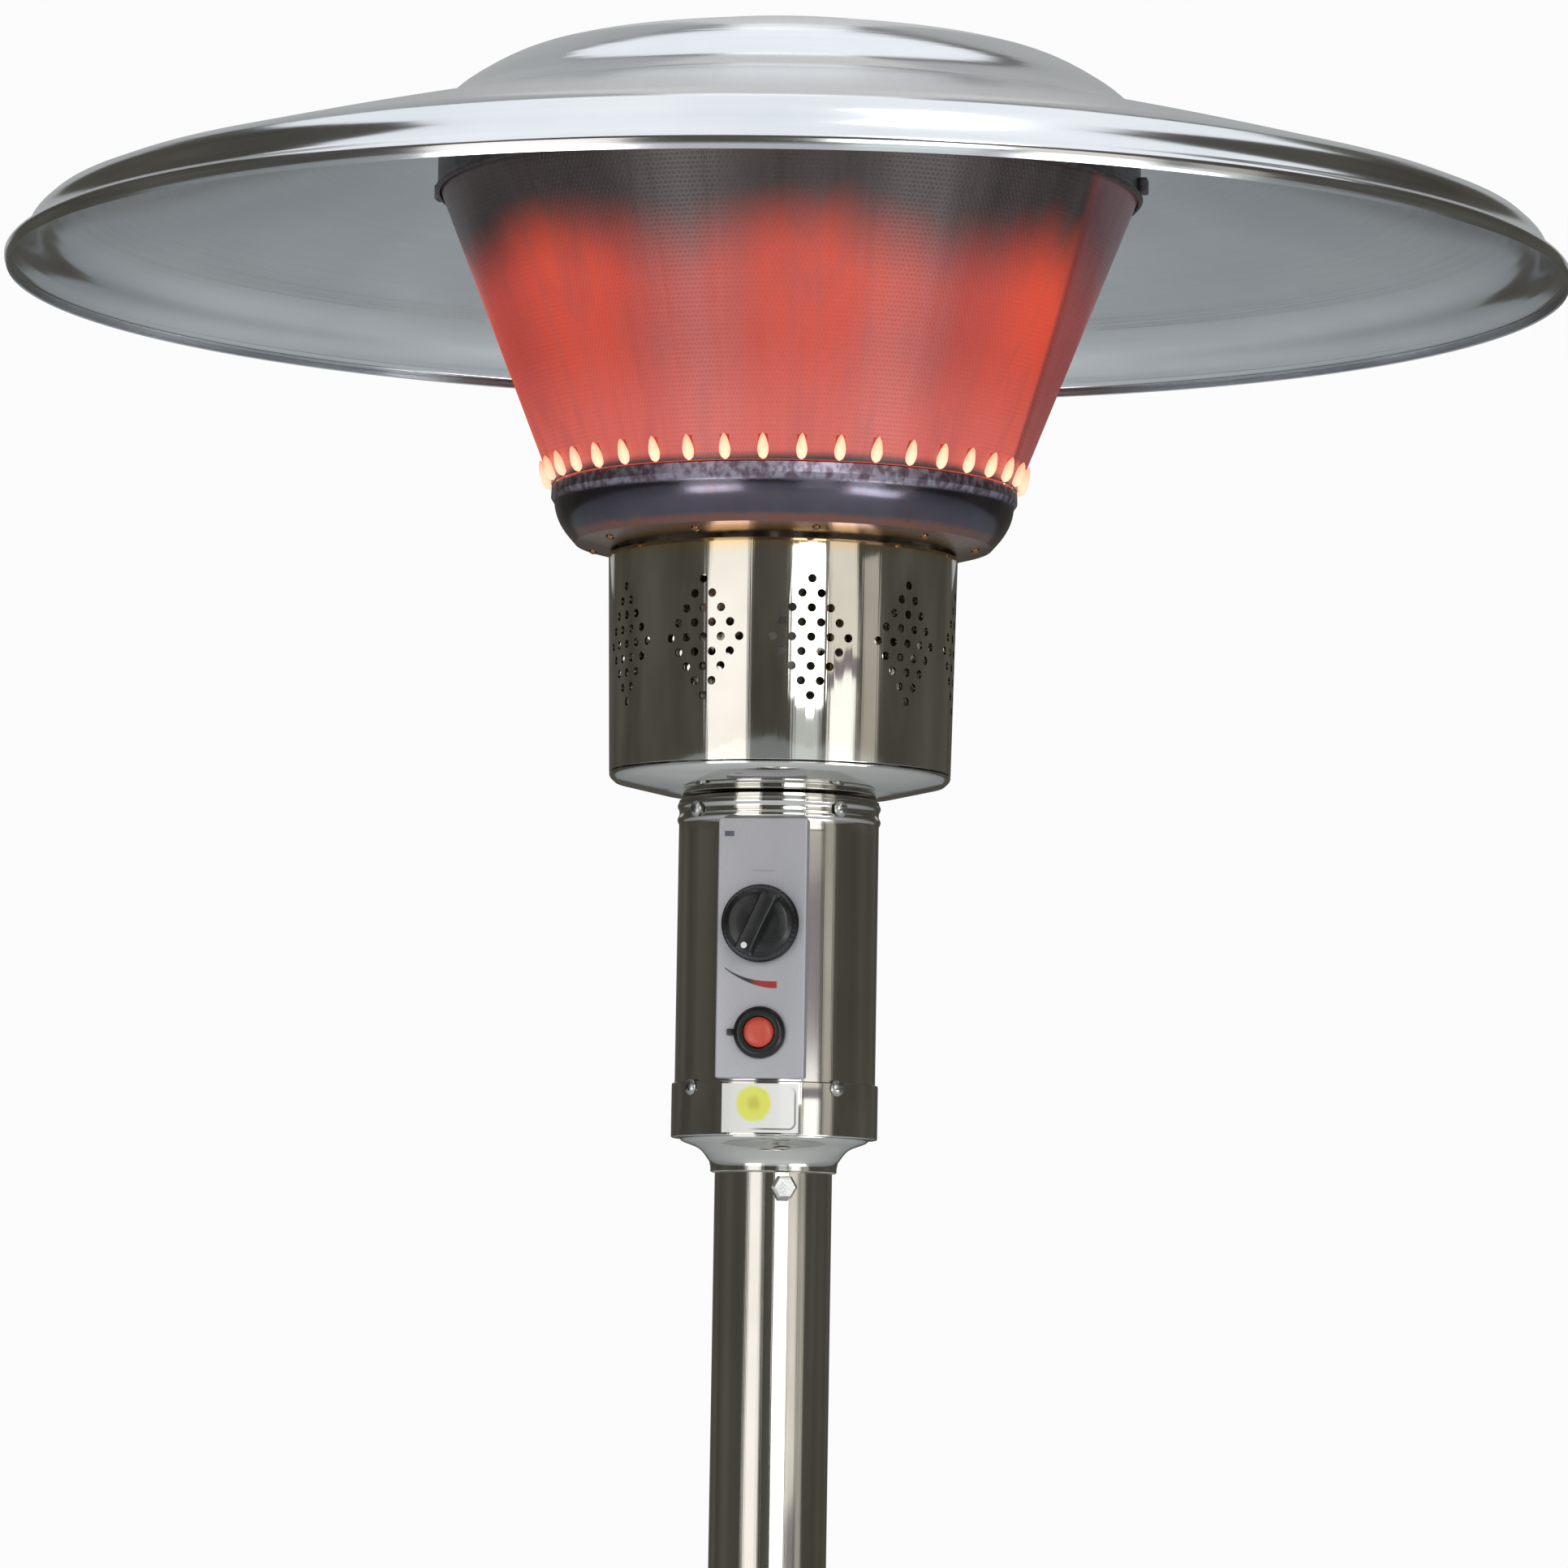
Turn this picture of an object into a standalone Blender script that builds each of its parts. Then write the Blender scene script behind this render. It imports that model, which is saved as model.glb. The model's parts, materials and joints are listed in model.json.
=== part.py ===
"""Free-standing gas patio heater: a mushroom reflector over a conical emitter, on a round post.

Metres, +Z up. The origin is on the floor under the post's centre line, and the control panel faces -Y.
Heights in the head are counted from RIM_Z, the plane of the reflector's edge.
"""

import math

import bmesh
import bpy
from mathutils import Vector

# Driving dimensions
GAP = 0.0003  # play kept between pieces that touch
TUBE_GAP = 0.0009  # play at the end of a bent tube, whose end face is a little tilted
RIM_Z = 2.080  # plane of the reflector's edge above the floor
REFLECTOR_R = 0.4065
POST_R = 0.0303
POST_WALL = 0.0015
POST_FOOT_Z = 0.600
CONTROL_R = 0.0518  # control housing, outside
SHEET = 0.0012  # stainless sheet of the head
HOUSING_R_TOP = 0.0908  # burner housing, outside, at its top
HOUSING_R_FOOT = 0.0886
EMITTER_R_TOP = 0.182
EMITTER_R_FOOT = 0.121
BOWL_EDGE_R = 0.1085
BURNER_R = 0.074
PILOT_R = 0.082  # pilot, thermocouple and electrode stand on this circle
STUD_R = 0.060  # the reflector's three studs stand on this circle
TANK_R = 0.180  # tank housing, outside
BASE_R = 0.230
BASE_H = 0.040
LEG_R = 0.162  # inner face of the support legs, clear of a bottle 0.31 across
LEG_AZIMUTHS = (60, 180, 300)
WHEEL_R = 0.050
WHEEL_W = 0.030
AXLE_R = 0.004
AXLE_Y, AXLE_Z = 0.280, 0.053
EAR_X = 0.045  # outer face of the wheel bracket's ears
PANEL_W, PANEL_H = 0.046, 0.133
STUB_Y = -0.018  # inlet and outlet of the gas valve
PANEL_FACE = 0.0545  # front face of the panel from the centre line

# Heights in the head
PANEL_Z = RIM_Z - 0.3505
KNOB_Z = RIM_Z - 0.3383
IGNITER_Z = RIM_Z - 0.3937
COLLAR_TOP_Z = RIM_Z - 0.418
COLLAR_FOOT_Z = RIM_Z - 0.446
CONTROL_TOP_Z = RIM_Z - 0.2715
SCREW_Z = RIM_Z - 0.2780  # screws of the control housing, between its beads
HOUSING_TOP_Z = RIM_Z - 0.1440
HOUSING_FOOT_Z = RIM_Z - 0.2570
BOWL_TOP_Z = RIM_Z - 0.1085
EMITTER_TOP_Z = RIM_Z + 0.0460
CAP_Z = RIM_Z + 0.0800  # plate that closes the emitter
WELL_Z = RIM_Z + 0.1130  # floor of the well in the reflector's crown


# Scene and small tools

for old in list(bpy.data.objects):
    bpy.data.objects.remove(old, do_unlink=True)

parts = bpy.data.collections.new("outdoor_heater")
cutters = bpy.data.collections.new("cutters")
for group in (parts, cutters):
    bpy.context.scene.collection.children.link(group)
cutters.hide_render = True


def around(azimuth, radius, z=0.0):
    """Point at an azimuth in degrees from the front (-Y) towards +X."""
    turn = math.radians(azimuth)
    return Vector((radius * math.sin(turn), -radius * math.cos(turn), z))


def facing(azimuth):
    """Rotation that turns local +Z outwards at this azimuth."""
    return (math.radians(90), 0, math.radians(azimuth))


def flowing(points, steps):
    """A smooth curve through the points (Catmull-Rom), with this many steps to each span."""
    ends = [points[0], *points, points[-1]]
    line = []
    for a, b, c, d in zip(ends, ends[1:], ends[2:], ends[3:]):
        for step in range(steps):
            t = step / steps
            weights = (
                (-t + 2 * t**2 - t**3) / 2,
                (2 - 5 * t**2 + 3 * t**3) / 2,
                (t + 4 * t**2 - 3 * t**3) / 2,
                (t**3 - t**2) / 2,
            )
            line.append(tuple(sum(w * p[i] for w, p in zip(weights, (a, b, c, d))) for i in range(len(a))))
    line.append(tuple(points[-1]))
    return line


def arc(centre, radius, start, end, steps):
    """Points on an arc in a turned outline, from angle start to end in degrees."""
    angles = [math.radians(start + (end - start) * i / steps) for i in range(steps + 1)]
    return [(centre[0] + radius * math.cos(a), centre[1] + radius * math.sin(a)) for a in angles]


def material(name, colour, roughness, metallic=0.0):
    made = bpy.data.materials.new(name)
    made.use_nodes = True
    shader = made.node_tree.nodes["Principled BSDF"]
    shader.inputs["Base Color"].default_value = (*colour, 1)
    shader.inputs["Roughness"].default_value = roughness
    shader.inputs["Metallic"].default_value = metallic
    return made


def finished(obj, finish, smooth_below=40):
    """Puts the object in the heater's collection with its material, round parts shaded smooth."""
    if not obj.users_collection:
        parts.objects.link(obj)
    obj.data.materials.append(finish)
    if obj.type == "MESH":
        obj.data.shade_smooth()
        obj.data.set_sharp_from_angle(angle=math.radians(smooth_below))
    return obj


def mesh_object(name, form):
    mesh = bpy.data.meshes.new(name)
    form.to_mesh(mesh)
    form.free()
    return bpy.data.objects.new(name, mesh)


def line_object(name, points, closed):
    """A turned profile: (radius, height) points joined by edges, at +X."""
    form = bmesh.new()
    verts = [form.verts.new((r, 0, z)) for r, z in points]
    for a, b in zip(verts, verts[1:]):
        form.edges.new((a, b))
    if closed:
        form.edges.new((verts[-1], verts[0]))
    return mesh_object(name, form)


def screwed(obj, steps):
    screw = obj.modifiers.new("turn", "SCREW")
    screw.steps = screw.render_steps = steps
    screw.use_merge_vertices = True
    screw.merge_threshold = 0.00001
    screw.use_normal_calculate = False


def turned(name, outline, finish, steps=28, closed=True):
    """A solid of revolution. The outline runs down its outer side, and back up the inside if it is closed."""
    obj = line_object(name, outline, closed)
    screwed(obj, steps)
    return finished(obj, finish)


def spun_sheet(name, line, wall, finish, steps=28):
    """A spun sheet: the line is its outer skin from top to bottom, and the wall grows inwards."""
    obj = line_object(name, line, False)
    screwed(obj, steps)
    solid = obj.modifiers.new("wall", "SOLIDIFY")
    solid.thickness = wall
    solid.offset = -1
    solid.use_even_offset = True
    return finished(obj, finish)


def block(name, low, high, finish=None, bevel=0.0):
    """A box between two corners, with rounded edges if a bevel is given."""
    form = bmesh.new()
    bmesh.ops.create_cube(form, size=1)
    low, high = Vector(low), Vector(high)
    bmesh.ops.scale(form, verts=form.verts, vec=high - low)
    bmesh.ops.translate(form, verts=form.verts, vec=(low + high) / 2)
    if bevel:
        bmesh.ops.bevel(
            form, geom=form.edges, offset=bevel, segments=2, affect="EDGES", profile=0.5, material=-1
        )
    obj = mesh_object(name, form)
    return finished(obj, finish) if finish else obj


def rod_form(radius, low, high, sides=24, top_radius=None):
    form = bmesh.new()
    bmesh.ops.create_cone(
        form,
        cap_ends=True,
        segments=sides,
        radius1=radius,
        radius2=radius if top_radius is None else top_radius,
        depth=high - low,
    )
    bmesh.ops.translate(form, verts=form.verts, vec=(0, 0, (low + high) / 2))
    return form


def rod(name, radius, low, high, finish=None, sides=24, top_radius=None):
    """A cylinder or cone along local Z."""
    obj = mesh_object(name, rod_form(radius, low, high, sides, top_radius))
    return finished(obj, finish) if finish else obj


def pipe(name, route, radius, finish, sides=1):
    """A bent tube or lead along a smooth curve through the route."""
    curve = bpy.data.curves.new(name, "CURVE")
    curve.dimensions = "3D"
    curve.bevel_depth = radius
    curve.bevel_resolution = sides
    curve.use_fill_caps = True
    points = flowing(route, 3)
    spline = curve.splines.new("POLY")
    spline.points.add(len(points) - 1)
    for place, point in zip(spline.points, points):
        place.co = (*point, 1)
    return finished(bpy.data.objects.new(name, curve), finish)


def plate_outline(name, outline, thickness, finish):
    """A flat outline in local XY, extruded half its thickness each way."""
    curve = bpy.data.curves.new(name, "CURVE")
    curve.dimensions = "2D"
    curve.fill_mode = "BOTH"
    curve.extrude = thickness / 2
    spline = curve.splines.new("POLY")
    spline.points.add(len(outline) - 1)
    for place, point in zip(spline.points, outline):
        place.co = (*point, 0, 1)
    spline.use_cyclic_u = True
    return finished(bpy.data.objects.new(name, curve), finish)


def boolean(obj, tool, operation):
    """Cuts the tool from the object, or joins it on. The tool is a guide and isn't a piece."""
    cutters.objects.link(tool)
    tool.hide_render = True
    tool.display_type = "WIRE"
    change = obj.modifiers.new(tool.name, "BOOLEAN")
    change.operation = operation
    change.object = tool
    change.solver = "EXACT"


def drilled(obj, azimuth, z, radius, inner, outer):
    """A radial hole through a wall."""
    drill = rod(f"drill_{obj.name}_{azimuth}_{round(z * 1000)}", radius, inner, outer, sides=12)
    drill.location = (0, 0, z)
    drill.rotation_euler = facing(azimuth)
    boolean(obj, drill, "DIFFERENCE")


def pan_screw(name, azimuth, z, wall_r, finish, head_r=0.0042, shank=0.006):
    """A pan-head screw that stands radially in a wall."""
    head_h = 0.0024
    outline = [
        (0, head_h),
        (head_r * 0.55, head_h * 0.92),
        (head_r * 0.9, head_h * 0.6),
        (head_r, GAP),
        (0.0019, GAP),
        (0.0019, -shank),
        (0, -shank),
    ]
    screw = turned(name, outline, finish, steps=10, closed=False)
    screw.location = around(azimuth, wall_r, z)
    screw.rotation_euler = facing(azimuth)
    return screw


# Finishes
spun_aluminium = material("spun_aluminium", (0.78, 0.79, 0.80), 0.24, 1)
emitter_steel = material("emitter_steel", (0.62, 0.16, 0.12), 0.55, 0.6)
heat_tinted = material("heat_tinted_steel", (0.22, 0.16, 0.20), 0.28, 1)
polished = material("polished_stainless", (0.62, 0.60, 0.55), 0.12, 1)
brushed = material("brushed_stainless", (0.60, 0.60, 0.60), 0.32, 1)
cast_iron = material("cast_iron", (0.10, 0.10, 0.10), 0.70, 0.4)
brass = material("brass", (0.75, 0.58, 0.28), 0.30, 1)
zinc = material("zinc_plated_steel", (0.66, 0.67, 0.66), 0.35, 1)
panel_grey = material("panel_grey", (0.55, 0.56, 0.58), 0.45, 0.2)
black_plastic = material("black_plastic", (0.02, 0.02, 0.02), 0.40)
red_plastic = material("red_plastic", (0.65, 0.05, 0.03), 0.35)
ceramic = material("ceramic", (0.85, 0.83, 0.78), 0.45)
rubber = material("wheel_rubber", (0.03, 0.03, 0.03), 0.75)


# Reflector and what holds it


def reflector():
    """One spun sheet: a well for the nuts, a domed crown, a wide brim, a steep skirt and a flared hem."""
    crown = [(0.072, 0.1130), (0.082, 0.1210), (0.0895, 0.1238), (0.097, 0.1222), (0.106, 0.1188)]
    dome = flowing([(0.120, 0.1172), (0.147, 0.1115), (0.170, 0.0990), (0.186, 0.0862), (0.204, 0.0770)], 1)
    brim = [(0.300, 0.0520), (0.374, 0.0312)]
    skirt = [(0.386, 0.0262), (0.3925, 0.0200), (0.3965, 0.0125)]
    hem = [(0.4000, 0.0080), (0.4045, 0.0060), (REFLECTOR_R, 0.0035), (REFLECTOR_R, 0.0005), (0.4055, -0.0025)]
    line = [(0, 0.113), *crown, *dome, *brim, *skirt, *hem]
    shell = spun_sheet("reflector", [(r, RIM_Z + h) for r, h in line], SHEET, spun_aluminium, steps=44)
    for azimuth in (0, 120, 240):
        hole = rod(f"stud_hole_{azimuth}", 0.0035, WELL_Z - 0.006, WELL_Z + 0.006, sides=12)
        hole.location = around(azimuth, STUD_R)
        boolean(shell, hole, "DIFFERENCE")


def reflector_fixings():
    """Three shouldered studs from the emitter's cap, and the nuts in the well of the crown."""
    shoulder_top = WELL_Z - SHEET - GAP
    for number, azimuth in enumerate((0, 120, 240), 1):
        outline = [
            (0, WELL_Z + 0.0095),
            (0.003, WELL_Z + 0.0085),
            (0.003, shoulder_top),
            (0.006, shoulder_top),
            (0.006, CAP_Z + GAP),
            (0.003, CAP_Z + GAP),
            (0.003, CAP_Z - 0.004),
            (0.0055, CAP_Z - 0.004),
            (0.0055, CAP_Z - 0.008),
            (0, CAP_Z - 0.008),
        ]
        stud = turned(f"reflector_stud_{number}", outline, zinc, steps=12, closed=False)
        stud.location = around(azimuth, STUD_R)
        nut = rod(f"reflector_nut_{number}", 0.0058, WELL_Z + GAP, WELL_Z + 0.0058, zinc, sides=6)
        nut.location = around(azimuth, STUD_R)
        bore = rod(f"nut_bore_{number}", 0.0033, WELL_Z - 0.01, WELL_Z + 0.02, sides=12)
        bore.location = around(azimuth, STUD_R)
        boolean(nut, bore, "DIFFERENCE")


# Emitter and burner


def emitter():
    """The glowing screen: an inverted cone of perforated sheet with a straight collar, in a rolled band."""
    collar_z = EMITTER_TOP_Z + 0.014
    cone = [(EMITTER_R_TOP, collar_z), (EMITTER_R_TOP, EMITTER_TOP_Z), (EMITTER_R_FOOT, BOWL_TOP_Z + GAP)]
    spun_sheet("emitter_screen", cone, 0.0010, emitter_steel, steps=36)

    band_in, band_out = EMITTER_R_TOP + GAP, EMITTER_R_TOP + 0.0015
    low, high = EMITTER_TOP_Z - 0.002, CAP_Z + 0.0045
    outline = [
        (band_in, high),
        (band_out, high),
        (band_out, low + 0.003),
        (band_out + 0.0015, low + 0.0015),
        (band_out, low),
        (band_in, low),
    ]
    band = turned("emitter_band", outline, heat_tinted, steps=36)
    for azimuth in (0, 90, 180, 270):
        lug = block(f"band_lug_{azimuth}", (-0.005, -0.0046, -0.004), (0.005, 0.0005, 0.004))
        lug.location = around(azimuth, band_out, low + 0.006)
        lug.rotation_euler = (0, 0, math.radians(azimuth))
        boolean(band, lug, "UNION")

    inside = EMITTER_R_TOP - 0.0004
    cap = [(0, CAP_Z), (inside - 0.002, CAP_Z), (inside, CAP_Z - 0.002), (inside, CAP_Z - 0.012)]
    plate = spun_sheet("emitter_cap", cap, SHEET, brushed, steps=36)
    for azimuth in (0, 120, 240):
        hole = rod(f"cap_hole_{azimuth}", 0.0035, CAP_Z - 0.006, CAP_Z + 0.006, sides=12)
        hole.location = around(azimuth, STUD_R)
        boolean(plate, hole, "DIFFERENCE")


def burner_bowl():
    """The heat-tinted pan that carries the emitter and the burner, on top of the housing."""
    floor_z = HOUSING_TOP_Z + 0.0018
    skirt = [
        (0.1192, BOWL_TOP_Z),
        (0.1212, BOWL_TOP_Z - 0.0008),
        (0.1212, BOWL_TOP_Z - 0.0032),
        (0.1182, BOWL_TOP_Z - 0.0060),
        (BOWL_EDGE_R, RIM_Z - 0.1380),
        (0.0925, floor_z),
        (0.0180, floor_z),
    ]
    bowl = spun_sheet("burner_bowl", skirt, 0.0015, heat_tinted)
    for azimuth in (170, 180, 190):
        hole = rod(f"bowl_hole_{azimuth}", 0.0045, floor_z - 0.01, floor_z + 0.01, sides=12)
        hole.location = around(azimuth, PILOT_R)
        boolean(bowl, hole, "DIFFERENCE")
    return floor_z + 0.0015


def burner(floor_z):
    """The round main burner, its mixing tube and the brass jet below."""
    base = floor_z + GAP
    outline = [
        (0, base + 0.026),
        (BURNER_R - 0.006, base + 0.024),
        (BURNER_R, base + 0.018),
        (BURNER_R, base + 0.012),
        (BURNER_R - 0.012, base),
        (0.0195, base),
        (0.0195, base + 0.004),
        (BURNER_R - 0.014, base + 0.005),
        (BURNER_R - 0.004, base + 0.013),
        (BURNER_R - 0.004, base + 0.0165),
        (BURNER_R - 0.008, base + 0.0205),
        (0, base + 0.022),
    ]
    turned("burner_head", outline, cast_iron, closed=False)

    top, mouth = base + 0.0035, RIM_Z - 0.232
    tube = [
        (0.0160, top),
        (0.0175, top),
        (0.0175, mouth + 0.022),
        (0.0215, mouth + 0.006),
        (0.0215, mouth),
        (0.0200, mouth),
        (0.0160, mouth + 0.022),
    ]
    turned("mixer_tube", tube, zinc, steps=24)

    jet_foot = RIM_Z - 0.262
    jet = rod("gas_jet", 0.0082, jet_foot + 0.004, mouth - 0.012, brass, sides=6)
    nozzle = rod("jet_nozzle", 0.0045, mouth - 0.014, mouth - 0.004, sides=16, top_radius=0.0022)
    shank = rod("jet_shank", 0.0052, jet_foot - 0.006, jet_foot + 0.006, sides=16)
    for extra in (nozzle, shank):
        boolean(jet, extra, "UNION")

    bridge = block("jet_bracket", (-0.0482, -0.009, jet_foot), (0.0482, 0.009, jet_foot + 0.0035), zinc)
    seat = rod("jet_seat", 0.0056, jet_foot - 0.01, jet_foot + 0.01, sides=16)
    boolean(bridge, seat, "DIFFERENCE")
    return jet_foot - 0.006


def pilot_group(floor_z):
    """Pilot burner, thermocouple and spark electrode on one bracket at the back of the bowl."""
    low = floor_z + GAP
    bracket = block("pilot_bracket", (-0.021, 0.0775, low), (0.021, 0.0865, low + 0.0015), zinc)
    stems = {
        "pilot_burner": (170, 0.0034, 0.024, brass, 0.0050),
        "thermocouple": (180, 0.0024, 0.030, brushed, 0.0024),
        "spark_electrode": (190, 0.0030, 0.020, ceramic, 0.0012),
    }
    for name, (azimuth, radius, height, finish, tip) in stems.items():
        seat = rod(f"{name}_seat", radius + 0.0003, low - 0.003, low + 0.004, sides=16)
        seat.location = around(azimuth, PILOT_R)
        boolean(bracket, seat, "DIFFERENCE")
        foot, top = low - 0.004, low + height
        outline = [
            (0, top),
            (tip, top),
            (tip, top - 0.007),
            (radius, top - 0.008),
            (radius, foot),
            (0, foot),
        ]
        stem = turned(name, outline, finish, steps=16, closed=False)
        stem.location = around(azimuth, PILOT_R)
    return low - 0.004


# Housings of the head


def burner_housing():
    """The wide cylinder under the bowl, slightly narrower at its foot, and the dish that closes it below."""
    inner = SHEET
    wall = [
        (HOUSING_R_TOP - inner, HOUSING_TOP_Z),
        (HOUSING_R_TOP, HOUSING_TOP_Z),
        (HOUSING_R_FOOT, HOUSING_FOOT_Z),
        (HOUSING_R_FOOT - inner, HOUSING_FOOT_Z),
    ]
    turned("burner_housing", wall, polished)

    rounded = arc((HOUSING_R_FOOT - 0.0045, HOUSING_FOOT_Z - GAP - 0.0005), 0.0045, 0, -70, 3)
    neck_r = CONTROL_R - SHEET - GAP
    dish = [
        *rounded,
        (0.0620, RIM_Z - 0.2675),
        (neck_r + 0.002, RIM_Z - 0.2688),
        (neck_r, RIM_Z - 0.2704),
        (neck_r, RIM_Z - 0.2860),
    ]
    base = spun_sheet("housing_base", dish, SHEET, polished)
    for azimuth in (45, 135, 225, 315):
        drilled(base, azimuth, SCREW_Z, 0.0023, 0.040, 0.058)


def control_housing():
    """The tube that holds the valve and the igniter, with two rolled beads and a window for the panel."""
    top, foot = CONTROL_TOP_Z, COLLAR_TOP_Z - 0.004
    beads = []
    for height in (0.0030, 0.0100):
        middle = top - height
        beads += [(CONTROL_R, middle + 0.0020), (CONTROL_R + 0.0009, middle), (CONTROL_R, middle - 0.0020)]
    inside = CONTROL_R - SHEET
    outline = [(inside, top), (CONTROL_R, top), *beads, (CONTROL_R, foot), (inside, foot)]
    tube = turned("control_housing", outline, polished)
    half_w, half_h = PANEL_W / 2 - 0.004, PANEL_H / 2 - 0.006
    window = block("window", (-half_w, -0.070, PANEL_Z - half_h), (half_w, -0.030, PANEL_Z + half_h))
    boolean(tube, window, "DIFFERENCE")
    for azimuth in (45, 135, 225, 315):
        drilled(tube, azimuth, SCREW_Z, 0.0023, 0.040, 0.058)
        drilled(tube, azimuth, RIM_Z - 0.4210, 0.0023, 0.040, 0.058)
        pan_screw(f"housing_screw_{azimuth // 90 + 1}", azimuth, SCREW_Z, CONTROL_R + 0.0010, brushed)


def lower_collar():
    """The ring round the foot of the control housing, held by four screws."""
    inside = CONTROL_R + GAP
    outside = inside + SHEET
    outline = [
        (inside, COLLAR_TOP_Z),
        (outside - 0.0004, COLLAR_TOP_Z),
        (outside, COLLAR_TOP_Z - 0.0008),
        (outside, COLLAR_FOOT_Z + 0.0012),
        (outside - 0.0008, COLLAR_FOOT_Z),
        (0.0496, COLLAR_FOOT_Z),
        (0.0496, COLLAR_FOOT_Z + SHEET),
        (inside, COLLAR_FOOT_Z + SHEET),
    ]
    collar = turned("lower_collar", outline, polished)
    for azimuth in (45, 135, 225, 315):
        drilled(collar, azimuth, RIM_Z - 0.4210, 0.0023, 0.040, 0.058)
        pan_screw(f"collar_screw_{azimuth // 90 + 1}", azimuth, RIM_Z - 0.4210, outside, brushed)


def neck_and_post():
    """The trumpet that runs from the collar down to the post, its lock bolt, and the post."""
    top = COLLAR_FOOT_Z + SHEET + GAP
    sleeve = POST_R + GAP + SHEET
    flare = flowing([(0.0486, top), (0.0478, top - 0.0030), (0.0385, top - 0.0070), (0.0332, top - 0.0135)], 2)
    line = [*flare, (sleeve + 0.0008, top - 0.0165), (sleeve + 0.0008, top - 0.0185), (sleeve, top - 0.0190)]
    spun_sheet("flared_neck", line, SHEET, polished)

    high = COLLAR_FOOT_Z + 0.012
    tube = [
        (POST_R - POST_WALL, high),
        (POST_R, high),
        (POST_R, POST_FOOT_Z),
        (POST_R - POST_WALL, POST_FOOT_Z),
    ]
    post = turned("post", tube, polished)
    bolt_z, bolt_azimuth = RIM_Z - 0.4715, 17
    drilled(post, bolt_azimuth, bolt_z, 0.0043, 0.020, 0.040)
    bolt = rod("lock_bolt", 0.0066, GAP, 0.0050, zinc, sides=6)
    shank = rod("bolt_shank", 0.0040, -0.010, 0.003, sides=16)
    boolean(bolt, shank, "UNION")
    for piece in (bolt, shank):
        piece.location = around(bolt_azimuth, POST_R, bolt_z)
        piece.rotation_euler = facing(bolt_azimuth)


# Controls


def control_panel():
    """A shallow tray over the window, its back edge following the round housing."""
    half_w, half_h = PANEL_W / 2, PANEL_H / 2
    low = (-half_w, -PANEL_FACE, PANEL_Z - half_h)
    tray = block("control_panel", low, (half_w, -0.045, PANEL_Z + half_h), panel_grey, bevel=0.0008)
    back = rod("panel_back", CONTROL_R + GAP, PANEL_Z - 0.1, PANEL_Z + 0.1, sides=96)
    edge = 0.0018
    hollow = block(
        "panel_hollow",
        (edge - half_w, 0.0015 - PANEL_FACE, PANEL_Z - half_h + edge),
        (half_w - edge, -0.040, PANEL_Z + half_h - edge),
    )
    for tool in (back, hollow):
        boolean(tray, tool, "DIFFERENCE")
    for height, radius in ((KNOB_Z, 0.0084), (IGNITER_Z, 0.0108)):
        drilled(tray, 0, height, radius, 0.040, 0.060)


def valve(jet_foot):
    """Gas valve behind the panel, its spindle, the knob, and the tube up to the jet."""
    low_z, high_z = KNOB_Z - 0.024, KNOB_Z + 0.022
    body = block("valve_body", (-0.015, -0.044, low_z), (0.015, -0.012, high_z), brass, bevel=0.002)
    nose = rod("valve_nose", 0.0078, 0.040, PANEL_FACE - 0.0012, sides=20)
    nose.location = (0, 0, KNOB_Z)
    nose.rotation_euler = facing(0)
    outlet = rod("valve_outlet", 0.006, high_z - 0.004, high_z + 0.010, sides=16)
    inlet = rod("valve_inlet", 0.007, low_z - 0.012, low_z + 0.004, sides=16)
    for stub in (outlet, inlet):
        stub.location = (0, STUB_Y, 0)
    for extra in (nose, outlet, inlet):
        boolean(body, extra, "UNION")
    drilled(body, 0, KNOB_Z, 0.0035, 0.030, 0.060)

    spindle = rod("valve_spindle", 0.0032, 0.0320, 0.0685, zinc, sides=16)
    spindle.location = (0, 0, KNOB_Z)
    spindle.rotation_euler = facing(0)

    # The knob's skirt clears the panel by its travel and half a millimetre.
    skirt = PANEL_FACE + 0.0045
    outline = [
        (0, skirt + 0.0098),
        (0.0150, skirt + 0.0090),
        (0.0178, skirt + 0.0070),
        (0.0190, skirt + 0.0022),
        (0.0200, skirt + 0.0012),
        (0.0200, skirt),
        (0, skirt),
    ]
    knob = turned("control_knob", outline, black_plastic, steps=24, closed=False)
    knob.location = (0, 0, KNOB_Z)
    knob.rotation_euler = facing(0)
    grip = block("knob_grip", (-0.0050, -0.0170, skirt + 0.004), (0.0050, 0.0170, skirt + 0.0170), bevel=0.0012)
    grip.location = (0, 0, KNOB_Z)
    grip.rotation_euler = (math.radians(90), math.radians(25), 0)
    boolean(knob, grip, "UNION")
    bore = rod("knob_bore", 0.0035, 0.040, 0.0730, sides=16)
    bore.location = (0, 0, KNOB_Z)
    bore.rotation_euler = facing(0)
    boolean(knob, bore, "DIFFERENCE")

    tube_foot = high_z + 0.010 + TUBE_GAP
    route = [
        (0, STUB_Y, tube_foot),
        (0, STUB_Y, tube_foot + 0.005),
        (0, STUB_Y + 0.004, tube_foot + 0.014),
        (0, -0.004, tube_foot + 0.023),
        (0, 0, jet_foot - 0.008),
        (0, 0, jet_foot - 0.004),
        (0, 0, jet_foot - TUBE_GAP),
    ]
    pipe("burner_gas_tube", route, 0.0035, brass)
    return low_z - 0.012


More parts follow.
